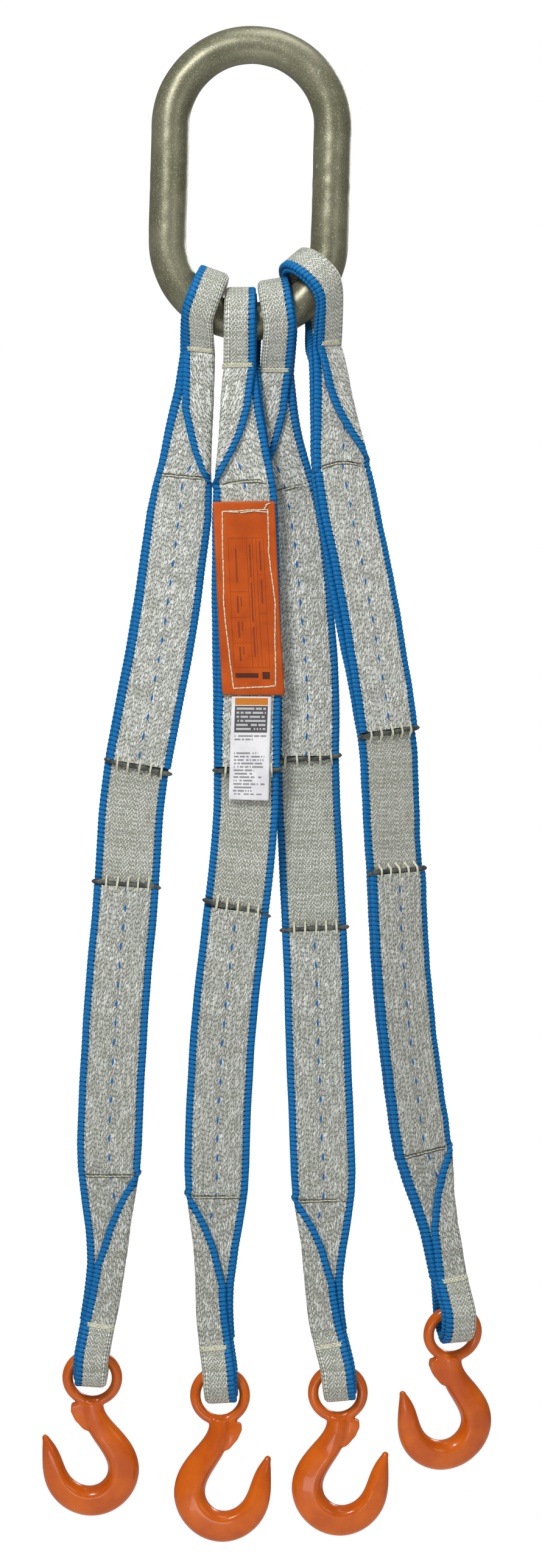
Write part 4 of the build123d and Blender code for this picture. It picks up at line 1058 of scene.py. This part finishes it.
for i, d in LEGS.items():
    leg = legs[i]
    n = f"leg_{i}_"
    eye_b, up_b, low_b = n + "eye", n + "upper", n + "lower"
    side = -d["fold_side"]
    ph = 0.9 * i
    peek = PEEK[i]
    # upper eye: from the front tack over the link and down to the back tack
    eye = upper_eye_sheet(i, ph, peek)
    finish_piece(sheet_object(eye, f"web_{i}_eye", M_PLAIN), eye_b, [n + "upper_eye"])
    z_top = d["tack"] - 0.1
    z_end = d["tack"] + 1.05 * (d["seam"] - d["tack"])
    bend = (eye_b, up_b, leg.c(d["tack"] - 1.0)[0], leg.c(d["tack"] - 30.0)[0])
    front = taper_sheet(i, z_top, z_end, 1, True, ph)
    back = taper_sheet(i, z_top, z_end, -1, True, ph + 1.0, peek)
    finish_piece(sheet_object(front, f"web_{i}_taper_front", M_TAIL), None, [n + "upper_taper_front"], bend)
    finish_piece(sheet_object(back, f"web_{i}_taper_back", M_SEWN), None, [n + "upper_taper_back"], bend)
    # sewn double part
    tail = ply_sheet(i, z_end, d["cut"], WEB_T / 2, 0.5, ph)
    main = ply_sheet(i, z_end, d["cut"] - 5.0, -WEB_T / 2, -0.5, ph + 1.0)
    finish_piece(sheet_object(tail, f"web_{i}_tail_ply", M_TAIL), up_b, [n + "upper_tail_ply"])
    finish_piece(sheet_object(main, f"web_{i}_main_ply", M_SEWN), up_b, [n + "upper_main_ply"])
    # single part, at the leg's fold
    mid = ply_sheet(i, d["cut"] - 5.0, d["low_cut"] + 5.0, -WEB_T / 2, -0.5, ph + 1.0)
    fold = d["fold"]
    reach = min(36.0, d["cut"] - 7.0 - fold, fold - d["low_cut"] - 7.0)
    finish_piece(sheet_object(mid, f"web_{i}_middle", M_PLAIN), None, [n + "middle_web"],
                 (up_b, low_b, leg.c(fold + reach)[0], leg.c(fold - reach)[0]))
    # lower sewn part
    z_low = d["low_seam"] - 0.08 * (d["low_tack"] - d["low_seam"])
    ltail = ply_sheet(i, d["low_cut"], z_low, WEB_T / 2, 0.0, ph)
    lmain = ply_sheet(i, d["low_cut"] + 5.0, z_low, -WEB_T / 2, 0.0, ph + 1.0)
    finish_piece(sheet_object(ltail, f"web_{i}_lower_tail_ply", M_TAIL), low_b, [n + "lower_tail_ply"])
    finish_piece(sheet_object(lmain, f"web_{i}_lower_main_ply", M_SEWN), low_b, [n + "lower_main_ply"])
    lfront = taper_sheet(i, z_low, d["low_tack"], 1, False, ph)
    lback = taper_sheet(i, z_low, d["low_tack"], -1, False, ph + 1.0, 1.0)
    tp = Parts()
    for s in (lfront, lback):
        tp.add(*s.mesh())
    finish_piece(tp.make(f"web_{i}_lower_taper", M_TAIL), low_b, [n + "lower_taper"])
    low_eye = lower_eye_sheet(i, ph)
    finish_piece(sheet_object(low_eye, f"web_{i}_lower_eye", M_PLAIN), low_b, [n + "lower_eye"])
    # rolled cut ends
    su, sl = SLOPE[i]
    v, f, uv = cut_roll(i, d["cut"] - 2.0, 0.5, su, i)
    finish_piece(make_object(f"web_{i}_cut_end", v, orient(v, f), uv, M_CUT_END_AND_SEAM_SHADOW), up_b)
    v, f, uv = cut_roll(i, d["low_cut"] + 2.0, 0.0, sl, i + 5)
    finish_piece(make_object(f"web_{i}_lower_cut_end", v, orient(v, f), uv, M_CUT_END_AND_SEAM_SHADOW), low_b)
    # sewing
    up, low, tacks, seam_shadow_strands, lower_seam_shadow_strands = Parts(), Parts(), Parts(), Parts(), Parts()
    seam(up, i, SEAMS[i], -17.5 * 0.96, 15.5 * 0.96, FACE + 0.02, i, dark=seam_shadow_strands)
    seam(low, i, lambda u, d=d: d["low_seam"] + 2.6 + 0.02 * u, -17.5, 17.0, FACE + 0.02, i + 4, dark=lower_seam_shadow_strands)
    # the dark strands along both start seams are painted shadow in the seams' grooves, in the cut-end material
    finish_piece(seam_shadow_strands.make(f"thread_{i}_seam_under", M_CUT_END_AND_SEAM_SHADOW), up_b)
    finish_piece(lower_seam_shadow_strands.make(f"thread_{i}_lower_seam_under", M_CUT_END_AND_SEAM_SHADOW), low_b)
    whips(up, i, d["cut"] - 2.0, 0.5, su, -1.0, [-17.0, -8.5, 1.0, 9.5, 17.5], i)
    whips(low, i, d["low_cut"] + 2.0, 0.0, sl, 1.0, [-16.0, -8.0, 0.5, 8.5, 16.5], i + 3)
    finish_piece(up.make(f"thread_{i}_upper", M_THREAD), up_b, [n + "upper_stitching"])
    finish_piece(low.make(f"thread_{i}_lower", M_THREAD), low_b, [n + "lower_stitching"])
    u0, u1 = TACK_U[i]
    bar_tack(tacks, eye, u0, u1, -d["tack"] - 2.6, -1, i, 0.0)
    finish_piece(tacks.make(f"thread_{i}_eye_tack", M_THREAD), eye_b)
    tl = Parts()
    bar_tack(tl, low_eye, 2.5, 20.5, -d["low_tack"] + {1: 1.5, 2: 5.5, 3: 9.0, 4: 3.0}[i], -1, i + 2, 0.0)
    finish_piece(tl.make(f"thread_{i}_hook_tack", M_THREAD), low_b)
    zz = Parts()
    zigzag(zz, i, z_end, d["cut"], FACE - 0.05, i)
    finish_piece(zz.make(f"thread_{i}_rows", M_ZIG), up_b)
    zl = Parts()
    zigzag(zl, i, d["low_cut"], z_low, FACE - 0.05, i + 9)
    finish_piece(zl.make(f"thread_{i}_lower_rows", M_ZIG), low_b)


# ---------------------------------------------------------------- tag and label on leg 2
def plate(i, rows, hw, t, off0, uv_top, waves, ncol=25, step=1.2, corner=1.2):
    """A thin bent plate in front of leg i: rows of (z, x of its middle)."""
    leg = legs[i]
    zr = np.array([r[0] for r in rows])
    z = rows_of(rows[0][0], rows[-1][0], step)
    x = np.interp(-z, -zr, [r[1] for r in rows])
    p, tdir, a, n = leg.frame(z)
    p = p.copy()
    p[:, 0] = x
    u = np.linspace(-hw, hw, ncol)
    X = np.broadcast_to(u, (len(z), ncol)).copy()
    e0, e1 = np.abs(z - z[0]), np.abs(z - z[-1])
    e = np.minimum(e0, e1)
    if corner > 0:
        k = np.clip(e / corner, 0, 1)
        inset = corner * (1 - np.sqrt(np.maximum(1 - (1 - k) ** 2, 0)))
        X = X * (1 - inset / hw)[:, None]
    Y = off0(z[:, None], u[None, :]) + waves(z[:, None], u[None, :])
    mid = p[:, None, :] + a[:, None, :] * X[..., None] + n[:, None, :] * Y[..., None]
    nn = np.broadcast_to(n[:, None, :], mid.shape)
    edge = np.minimum(np.clip((hw - np.abs(u)) / 0.5, 0, 1)[None, :], np.clip(e / 0.5, 0.0, 1)[:, None])
    h = t / 2 * np.sqrt(np.maximum(1 - 0.75 * (1 - edge) ** 2, 0.1))
    top, bot = mid + nn * h[..., None], mid - nn * h[..., None]
    R, C = X.shape
    ring = np.concatenate([top, bot[:, ::-1]], 1)
    K = 2 * C
    j, q = np.meshgrid(np.arange(R - 1), np.arange(K), indexing="ij")
    A, B = j * K + q, j * K + (q + 1) % K
    f = np.stack([A, B, B + K, A + K], -1).reshape(-1, 4)
    q = np.arange(C - 1)
    f = np.vstack([f, np.stack([q, K - 1 - q, K - 2 - q, q + 1], -1),
                   (R - 1) * K + np.stack([q + 1, K - 2 - q, K - 1 - q, q], -1)])
    uu = np.broadcast_to(u, (R, C))
    vv = np.broadcast_to((z[0] - z)[:, None], (R, C))
    uvt = np.stack([uu, vv], -1)
    uvb = np.stack([uu + 300.0, vv + 300.0], -1)
    uv = np.concatenate([uvt, uvb[:, ::-1]], 1).reshape(-1, 2)
    v = ring.reshape(-1, 3)

    def surf(uq, dq, lift):
        zq = z[0] - np.asarray(dq, float)
        uq = np.asarray(uq, float)
        P, _, Aq, Nq = leg.frame(zq)
        P = P.copy()
        P[:, 0] = np.interp(-zq, -zr, [r[1] for r in rows])
        yy = off0(zq, uq) + waves(zq, uq) + t / 2 + lift
        return P + Aq * uq[:, None] + Nq * np.reshape(yy, (-1, 1))

    return v, orient(v, f), uv, surf


TAG_ROWS = [(-337.0, -6.4), (-370.0, -5.2), (-400.0, -4.0), (-430.0, -2.6), (-460.0, -0.8), (-484.8, 0.6)]
tag_wave = lambda z, u: (0.55 * np.sin((z + 337) / 26.0) * np.sin(u / 15.0 + 0.6) + 0.35 * np.cos((z + 337) / 9.0 + u / 12.0)
                         * step01(np.abs(u), 14, 24) + 0.5 + 0.0 * u)
v, f, uv, tag_at = plate(2, TAG_ROWS, 23.8, 1.3, lambda z, u: WEB_T + 0.55 + 0.65 + 0 * z + 0 * u, None, tag_wave, 33, 1.2, 0.8)
finish_piece(make_object("tag", v, f, uv, M_TAG), "leg_2_upper", ["id_tag"])
st = Parts()
# perimeter sewing: a slightly crooked rectangle of long stitches
path = []
corners = [(-16.8, 7.6), (18.0, 6.4), (17.4, 40.0), (20.4, 78.0), (18.6, 110.0), (17.4, 141.0), (-15.2, 143.0), (-17.2, 112.0),
           (-19.2, 80.0), (-18.0, 40.0), (-16.8, 7.6)]
for (ua, va), (ub, vb) in zip(corners, corners[1:]):
    m = max(1, int(round(math.hypot(ub - ua, vb - va) / 4.6)))
    for k in range(m):
        path.append((ua + (ub - ua) * k / m, va + (vb - va) * k / m))
path.append(corners[-1])
for k in range(len(path) - 1):
    (ua, va), (ub, vb) = path[k], path[k + 1]
    j = 0.35 * (hash01(k, 3) - 0.5)
    q = np.array([0.03, 0.2, 0.5, 0.8, 0.97])
    pts = tag_at(ua + (ub - ua) * q + j, va + (vb - va) * q + j, np.array([-0.35, 0.28, 0.42, 0.28, -0.35]))
    st.add(*tube(pts, 0.52, 6))
for k, (ua, va, ub, vb) in enumerate(((-3.0, 8.6, 8.0, 7.4), (8.0, 7.6, 18.6, 8.6), (16.0, 3.2, 19.6, 1.8), (15.6, 6.6, 17.0, 2.6),
                                      (-12.0, 7.9, -4.0, 8.3))):
    q = np.linspace(0, 1, 7)
    pts = tag_at(ua + (ub - ua) * q + 0.4 * np.sin(q * 6 + k), va + (vb - va) * q, 0.35 + 0.6 * np.sin(np.pi * q))
    st.add(*tube(pts, 0.45, 6))
finish_piece(st.make("tag_thread", M_THREAD), "leg_2_upper", ["tag_stitching"])
LAB_ROWS = [(-485.9, -0.6), (-512.0, -1.4), (-540.0, -2.0), (-565.0, -2.6)]
lab_off = lambda z, u: WEB_T + 0.85 + 0.9 * np.exp(-((z - (LEGS[2]["cut"] - 2.0)) / 9.0) ** 2) - 0.0 * u
lab_wave = lambda z, u: 0.25 * np.sin((z + 490) / 14.0 + u / 9.0)
v, f, uv, _ = plate(2, LAB_ROWS, 15.3, 0.45, lab_off, None, lab_wave, 21, 1.2, 0.4)
finish_piece(make_object("label", v, f, uv, M_LABEL), "leg_2_upper", ["info_label"])


# ---------------------------------------------------------------- master link
def link_mesh():
    lean = unit(BOT_C - TOP_C)
    sd = np.array([-lean[2], 0.0, lean[0]])
    sd = sd if sd[0] > 0 else -sd
    pts = []
    for k in np.linspace(0, 1, 90, endpoint=False):
        pts.append(TOP_C - sd * BOW_R + (BOT_C - TOP_C) * k)
    for a in np.linspace(0, math.pi, 130, endpoint=False):
        pts.append(BOT_C + (-sd * math.cos(a) + lean * math.sin(a)) * BOW_R)
    for k in np.linspace(0, 1, 90, endpoint=False):
        pts.append(BOT_C + sd * BOW_R + (TOP_C - BOT_C) * k)
    for a in np.linspace(0, math.pi, 130, endpoint=False):
        pts.append(TOP_C + (sd * math.cos(a) - lean * math.sin(a)) * BOW_R)
    p = np.array(pts)
    n, m = len(p), 56
    t = unit(np.roll(p, -1, 0) - np.roll(p, 1, 0))
    y = np.array([0.0, -1.0, 0.0])
    s = unit(np.cross(t, y))
    ang = np.linspace(0, 2 * math.pi, m, endpoint=False)
    sarc = np.arange(n) / n * 2 * math.pi
    r = np.full((n, m), LINK_BAR / 2)
    for (a, b, amp, ph) in ((3, 2, 0.10, 0.3), (7, 1, 0.08, 1.1), (11, 3, 0.06, 2.0), (23, 2, 0.04, 0.5), (31, 4, 0.03, 1.9)):
        r = r + amp * np.sin(a * sarc[:, None] + b * ang[None, :] + ph)
    # the weld: a slight upset ring in the middle of the right limb, with a shallow neck on each side
    w = (np.arange(n) - 265) / 3.2
    r = r + (0.14 * np.exp(-w ** 2) - 0.06 * np.exp(-((np.abs(w) - 2.4) / 0.9) ** 2))[:, None]
    v = p[:, None, :] + (s[:, None, :] * np.cos(ang)[None, :, None] + y * np.sin(ang)[None, :, None]) * r[..., None]
    j, i = np.meshgrid(np.arange(n), np.arange(m), indexing="ij")
    a = j * m + i
    b = j * m + (i + 1) % m
    c = ((j + 1) % n) * m + (i + 1) % m
    e = ((j + 1) % n) * m + i
    f = np.stack([a, b, c, e], -1).reshape(-1, 4)
    v = v.reshape(-1, 3)
    return v, orient(v, f)


v, f = link_mesh()
finish_piece(make_object("link_ring", v, f, None, M_LINK), "link", ["master_link"])


# ---------------------------------------------------------------- hooks
def hook_meshes():
    """The forging in its own frame: eye bar's middle at the origin, mouth to +x, hanging down."""
    cz = -HOOK_EYE_R
    out = Parts()
    # eye ring, a little flattened
    n, m = 96, 28
    th = np.linspace(0, 2 * math.pi, n, endpoint=False)
    ph = np.linspace(0, 2 * math.pi, m, endpoint=False)
    rr = HOOK_EYE_R + (HOOK_BAR_R + 0.15) * np.cos(ph)[None, :]
    v = np.stack([rr * np.sin(th)[:, None], np.broadcast_to((HOOK_BAR_R + 0.5) * np.sin(ph)[None, :], (n, m)),
                  cz + rr * np.cos(th)[:, None]], -1).reshape(-1, 3)
    j, i = np.meshgrid(np.arange(n), np.arange(m), indexing="ij")
    f = np.stack([j * m + i, j * m + (i + 1) % m, ((j + 1) % n) * m + (i + 1) % m, ((j + 1) % n) * m + i], -1).reshape(-1, 4)
    out.add(v, f)
    # shank, bowl and tip
    line = np.array(HOOK_LINE, float)
    s = np.r_[0, np.cumsum(np.hypot(np.diff(line[:, 0]), np.diff(line[:, 1])))]
    q = np.linspace(0, s[-1], 150)
    rows = np.stack([np.interp(q, s, line[:, c]) for c in range(4)], 1)
    rows = smooth_rows(rows, 5.0)
    ctr = np.stack([rows[:, 0], 0 * q, rows[:, 1] + cz], 1)
    d = unit(np.gradient(ctr, axis=0))
    side = np.cross(d, np.array([0.0, 1.0, 0.0]))
    prof = np.array([(1, 0), (0.975, 0.22), (0.90, 0.46), (0.76, 0.74), (0.60, 0.93), (0.42, 1.0), (0.2, 0.965), (-0.05, 0.90),
                     (-0.35, 0.82), (-0.62, 0.70), (-0.82, 0.53), (-0.95, 0.30), (-1, 0)])
    prof = np.vstack([prof, (prof[1:-1] * [1, -1])[::-1]])
    ang = np.arctan2(prof[:, 1], prof[:, 0])
    ell = np.stack([np.cos(ang), np.sin(ang)], 1)
    k = np.minimum(step01(q, 14, 34), 1 - step01(q, s[-1] - 34, s[-1] - 6))[:, None, None]
    sec = ell[None] * (1 - k) + prof[None] * k
    v = ctr[:, None, :] + side[:, None, :] * (sec[..., 0] * rows[:, 2:3])[..., None] \
        + np.array([0.0, 1.0, 0.0]) * (sec[..., 1] * rows[:, 3:4])[..., None]
    n, m = v.shape[:2]
    v = v.reshape(-1, 3)
    j, i = np.meshgrid(np.arange(n - 1), np.arange(m), indexing="ij")
    a, b = j * m + i, j * m + (i + 1) % m
    f = np.stack([a, b, b + m, a + m], -1).reshape(-1, 4)
    v = np.vstack([v, ctr[0], ctr[-1]])
    e = np.arange(0, m, 2)
    f = np.vstack([f, np.stack([np.full(len(e), n * m), (e + 2) % m, (e + 1) % m, e], -1),
                   np.stack([np.full(len(e), n * m + 1), (n - 1) * m + e, (n - 1) * m + (e + 1) % m, (n - 1) * m + (e + 2) % m], -1)])
    out.add(v, f)
    # tip ball
    tip = np.array([HOOK_LINE[-1][0], 0.0, HOOK_LINE[-1][1] + cz])
    back = unit(np.array([HOOK_LINE[-2][0] - HOOK_LINE[-1][0], 0.0, HOOK_LINE[-2][1] - HOOK_LINE[-1][1]]))
    al = np.linspace(0, math.pi, 13)
    pts = tip[None] + back[None] * (-2.7 * np.cos(al))[:, None]
    out.add(*tube(pts, np.maximum(2.7 * np.sin(al), 0.15), 16))
    # latch ear on the throat side of the neck
    ear = np.array([(2.0, -23.0), (9.5, -19.5), (16.4, -21.4), (16.8, -26.6), (13.6, -33.6), (7.2, -41.0), (0.0, -44.0)])
    cnt = len(ear)
    for hw_y, grow in ((3.9, 0.0),):
        lo = np.array([[x, -hw_y, z + cz] for x, z in ear])
        hi = np.array([[x, hw_y, z + cz] for x, z in ear])
        c = ear.mean(0)
        v = np.vstack([lo, hi, [[c[0], -hw_y - 0.5, c[1] + cz], [c[0], hw_y + 0.5, c[1] + cz]]])
        f = []
        for q0 in range(cnt):
            q1 = (q0 + 1) % cnt
            f.append((q0, q1, q1 + cnt, q0 + cnt))
        base = v.copy()
        tri = []
        for q0 in range(cnt):
            q1 = (q0 + 1) % cnt
            tri.append((2 * cnt, q1, q0, q0))
            tri.append((2 * cnt + 1, q0 + cnt, q1 + cnt, q1 + cnt))
        out.ear = (v, f, tri)
    return out


def build_hook(name):
    parts = hook_meshes()
    ob = parts.make(name, M_HOOK)
    v, f, tri = parts.ear
    me = bpy.data.meshes.new(name + "_ear")
    faces = [list(q) for q in f] + [list(dict.fromkeys(q)) for q in tri]
    me.from_pydata((np.asarray(v) * 0.001).tolist(), [], faces)
    me.update()
    import bmesh
    bm = bmesh.new()
    bm.from_mesh(me)
    bmesh.ops.recalc_face_normals(bm, faces=bm.faces)
    bm.to_mesh(me)
    bm.free()
    ear = bpy.data.objects.new(name + "_ear", me)
    bpy.context.scene.collection.objects.link(ear)
    # one skin over the ring, the body and the ear, then relaxed as a forging's fillets are
    bpy.context.view_layer.objects.active = ob
    for o in bpy.context.selected_objects:
        o.select_set(False)
    ear.select_set(True)
    ob.select_set(True)
    bpy.ops.object.join()
    rm = ob.modifiers.new("skin", "REMESH")
    rm.mode = "VOXEL"
    rm.voxel_size = 0.00075
    rm.use_smooth_shade = True
    sm = ob.modifiers.new("relax", "SMOOTH")
    sm.factor = 0.5
    sm.iterations = 14
    dg = bpy.context.evaluated_depsgraph_get()
    new = bpy.data.meshes.new_from_object(ob.evaluated_get(dg))
    bpy.data.objects.remove(ob)
    new.polygons.foreach_set("use_smooth", [True] * len(new.polygons))
    new.materials.clear()
    new.materials.append(M_HOOK)
    return new


HOOK_MESH = build_hook("hook_forging")


def place_hook(i):
    z, tilt, yaw, side = LEGS[i]["hook"]
    p, _ = hook_axis(LEGS[i], legs[i])
    turn = 0.0 if side > 0 else math.pi
    M = (Matrix.Translation(Vector(p * 0.001)) @ Matrix.Rotation(math.radians(yaw), 4, "Z")
         @ Matrix.Rotation(math.radians(tilt), 4, "X") @ Matrix.Rotation(turn, 4, "Z"))
    me = HOOK_MESH.copy()
    me.transform(M)
    me.update()
    ob = bpy.data.objects.new(f"hook_{i}_forging", me)
    bpy.context.scene.collection.objects.link(ob)
    return finish_piece(ob, f"hook_{i}", [f"leg_{i}_hook"])


for i in LEGS:
    place_hook(i)


# ---------------------------------------------------------------- studio
def studio_floor():
    """A round pale floor well below the hanging sling."""
    v, f = [(0.0, 0.0, -1.75)], []
    m = 64
    for r in (0.9, 1.8, 2.6):
        v += [(r * math.cos(2 * math.pi * k / m), r * math.sin(2 * math.pi * k / m), -1.75) for k in range(m)]
    for k in range(m):
        f.append((0, 1 + k, 1 + (k + 1) % m))
        for q in (0, 1):
            a, b = 1 + q * m + k, 1 + q * m + (k + 1) % m
            f.append((a, a + m, b + m, b))
    me = bpy.data.meshes.new("studio_floor")
    me.from_pydata(v, [], f)
    me.polygons.foreach_set("use_smooth", [True] * len(f))
    me.materials.append(floor_material())
    ob = bpy.data.objects.new("studio_floor", me)
    bpy.context.scene.collection.objects.link(ob)


studio_floor()


def area(name, loc, target, size, power, color=(1, 1, 1)):
    l = bpy.data.lights.new(name, "AREA")
    l.shape = "RECTANGLE"
    l.size, l.size_y = size
    l.energy = power
    l.color = color
    o = bpy.data.objects.new(name, l)
    o.location = loc
    o.rotation_euler = (Vector(target) - Vector(loc)).to_track_quat("-Z", "Y").to_euler()
    bpy.context.scene.collection.objects.link(o)


mid = (0.0147, 0.0, -0.5528)
area("key", (-0.75, -1.7, 0.85), mid, (0.5, 0.5), 35.0)
area("fill", (1.5, -1.9, -0.2), mid, (0.8, 1.4), 6.5)
area("low", (-0.3, -1.7, -1.6), (0.0, 0.0, -0.8), (0.9, 0.35), 4.0)
area("top", (0.2, -0.2, 1.1), (0.0, 0.0, -0.3), (1.0, 0.7), 9.0)
area("back", (1.3, 2.2, 0.7), mid, (1.0, 1.0), 20.0)
world = bpy.data.worlds.new("studio")
world.use_nodes = True
world.node_tree.nodes["Background"].inputs[0].default_value = (1.0, 1.0, 1.0, 1.0)
bg = world.node_tree.nodes["Background"]
path = world.node_tree.nodes.new("ShaderNodeLightPath")
lit = world.node_tree.nodes.new("ShaderNodeMapRange")
lit.inputs[3].default_value, lit.inputs[4].default_value = 0.24, 1.0
world.node_tree.links.new(path.outputs["Is Camera Ray"], lit.inputs[0])
world.node_tree.links.new(lit.outputs[0], bg.inputs[1])
bpy.context.scene.world = world

cam = bpy.data.cameras.new("camera")
cam.sensor_fit = "AUTO"
cam.sensor_width = 36.0
DIST, FRAME_H = 3.0, 1.2037
cam.lens = 36.0 * DIST / FRAME_H
cam.dof.use_dof = False
cam_ob = bpy.data.objects.new("camera", cam)
cam_ob.location = (mid[0], -DIST, mid[2])
cam_ob.rotation_euler = (math.radians(90), 0, 0)
bpy.context.scene.collection.objects.link(cam_ob)
bpy.context.scene.camera = cam_ob
bpy.context.scene.view_settings.view_transform = "Standard"
bpy.context.scene.view_settings.look = "None"
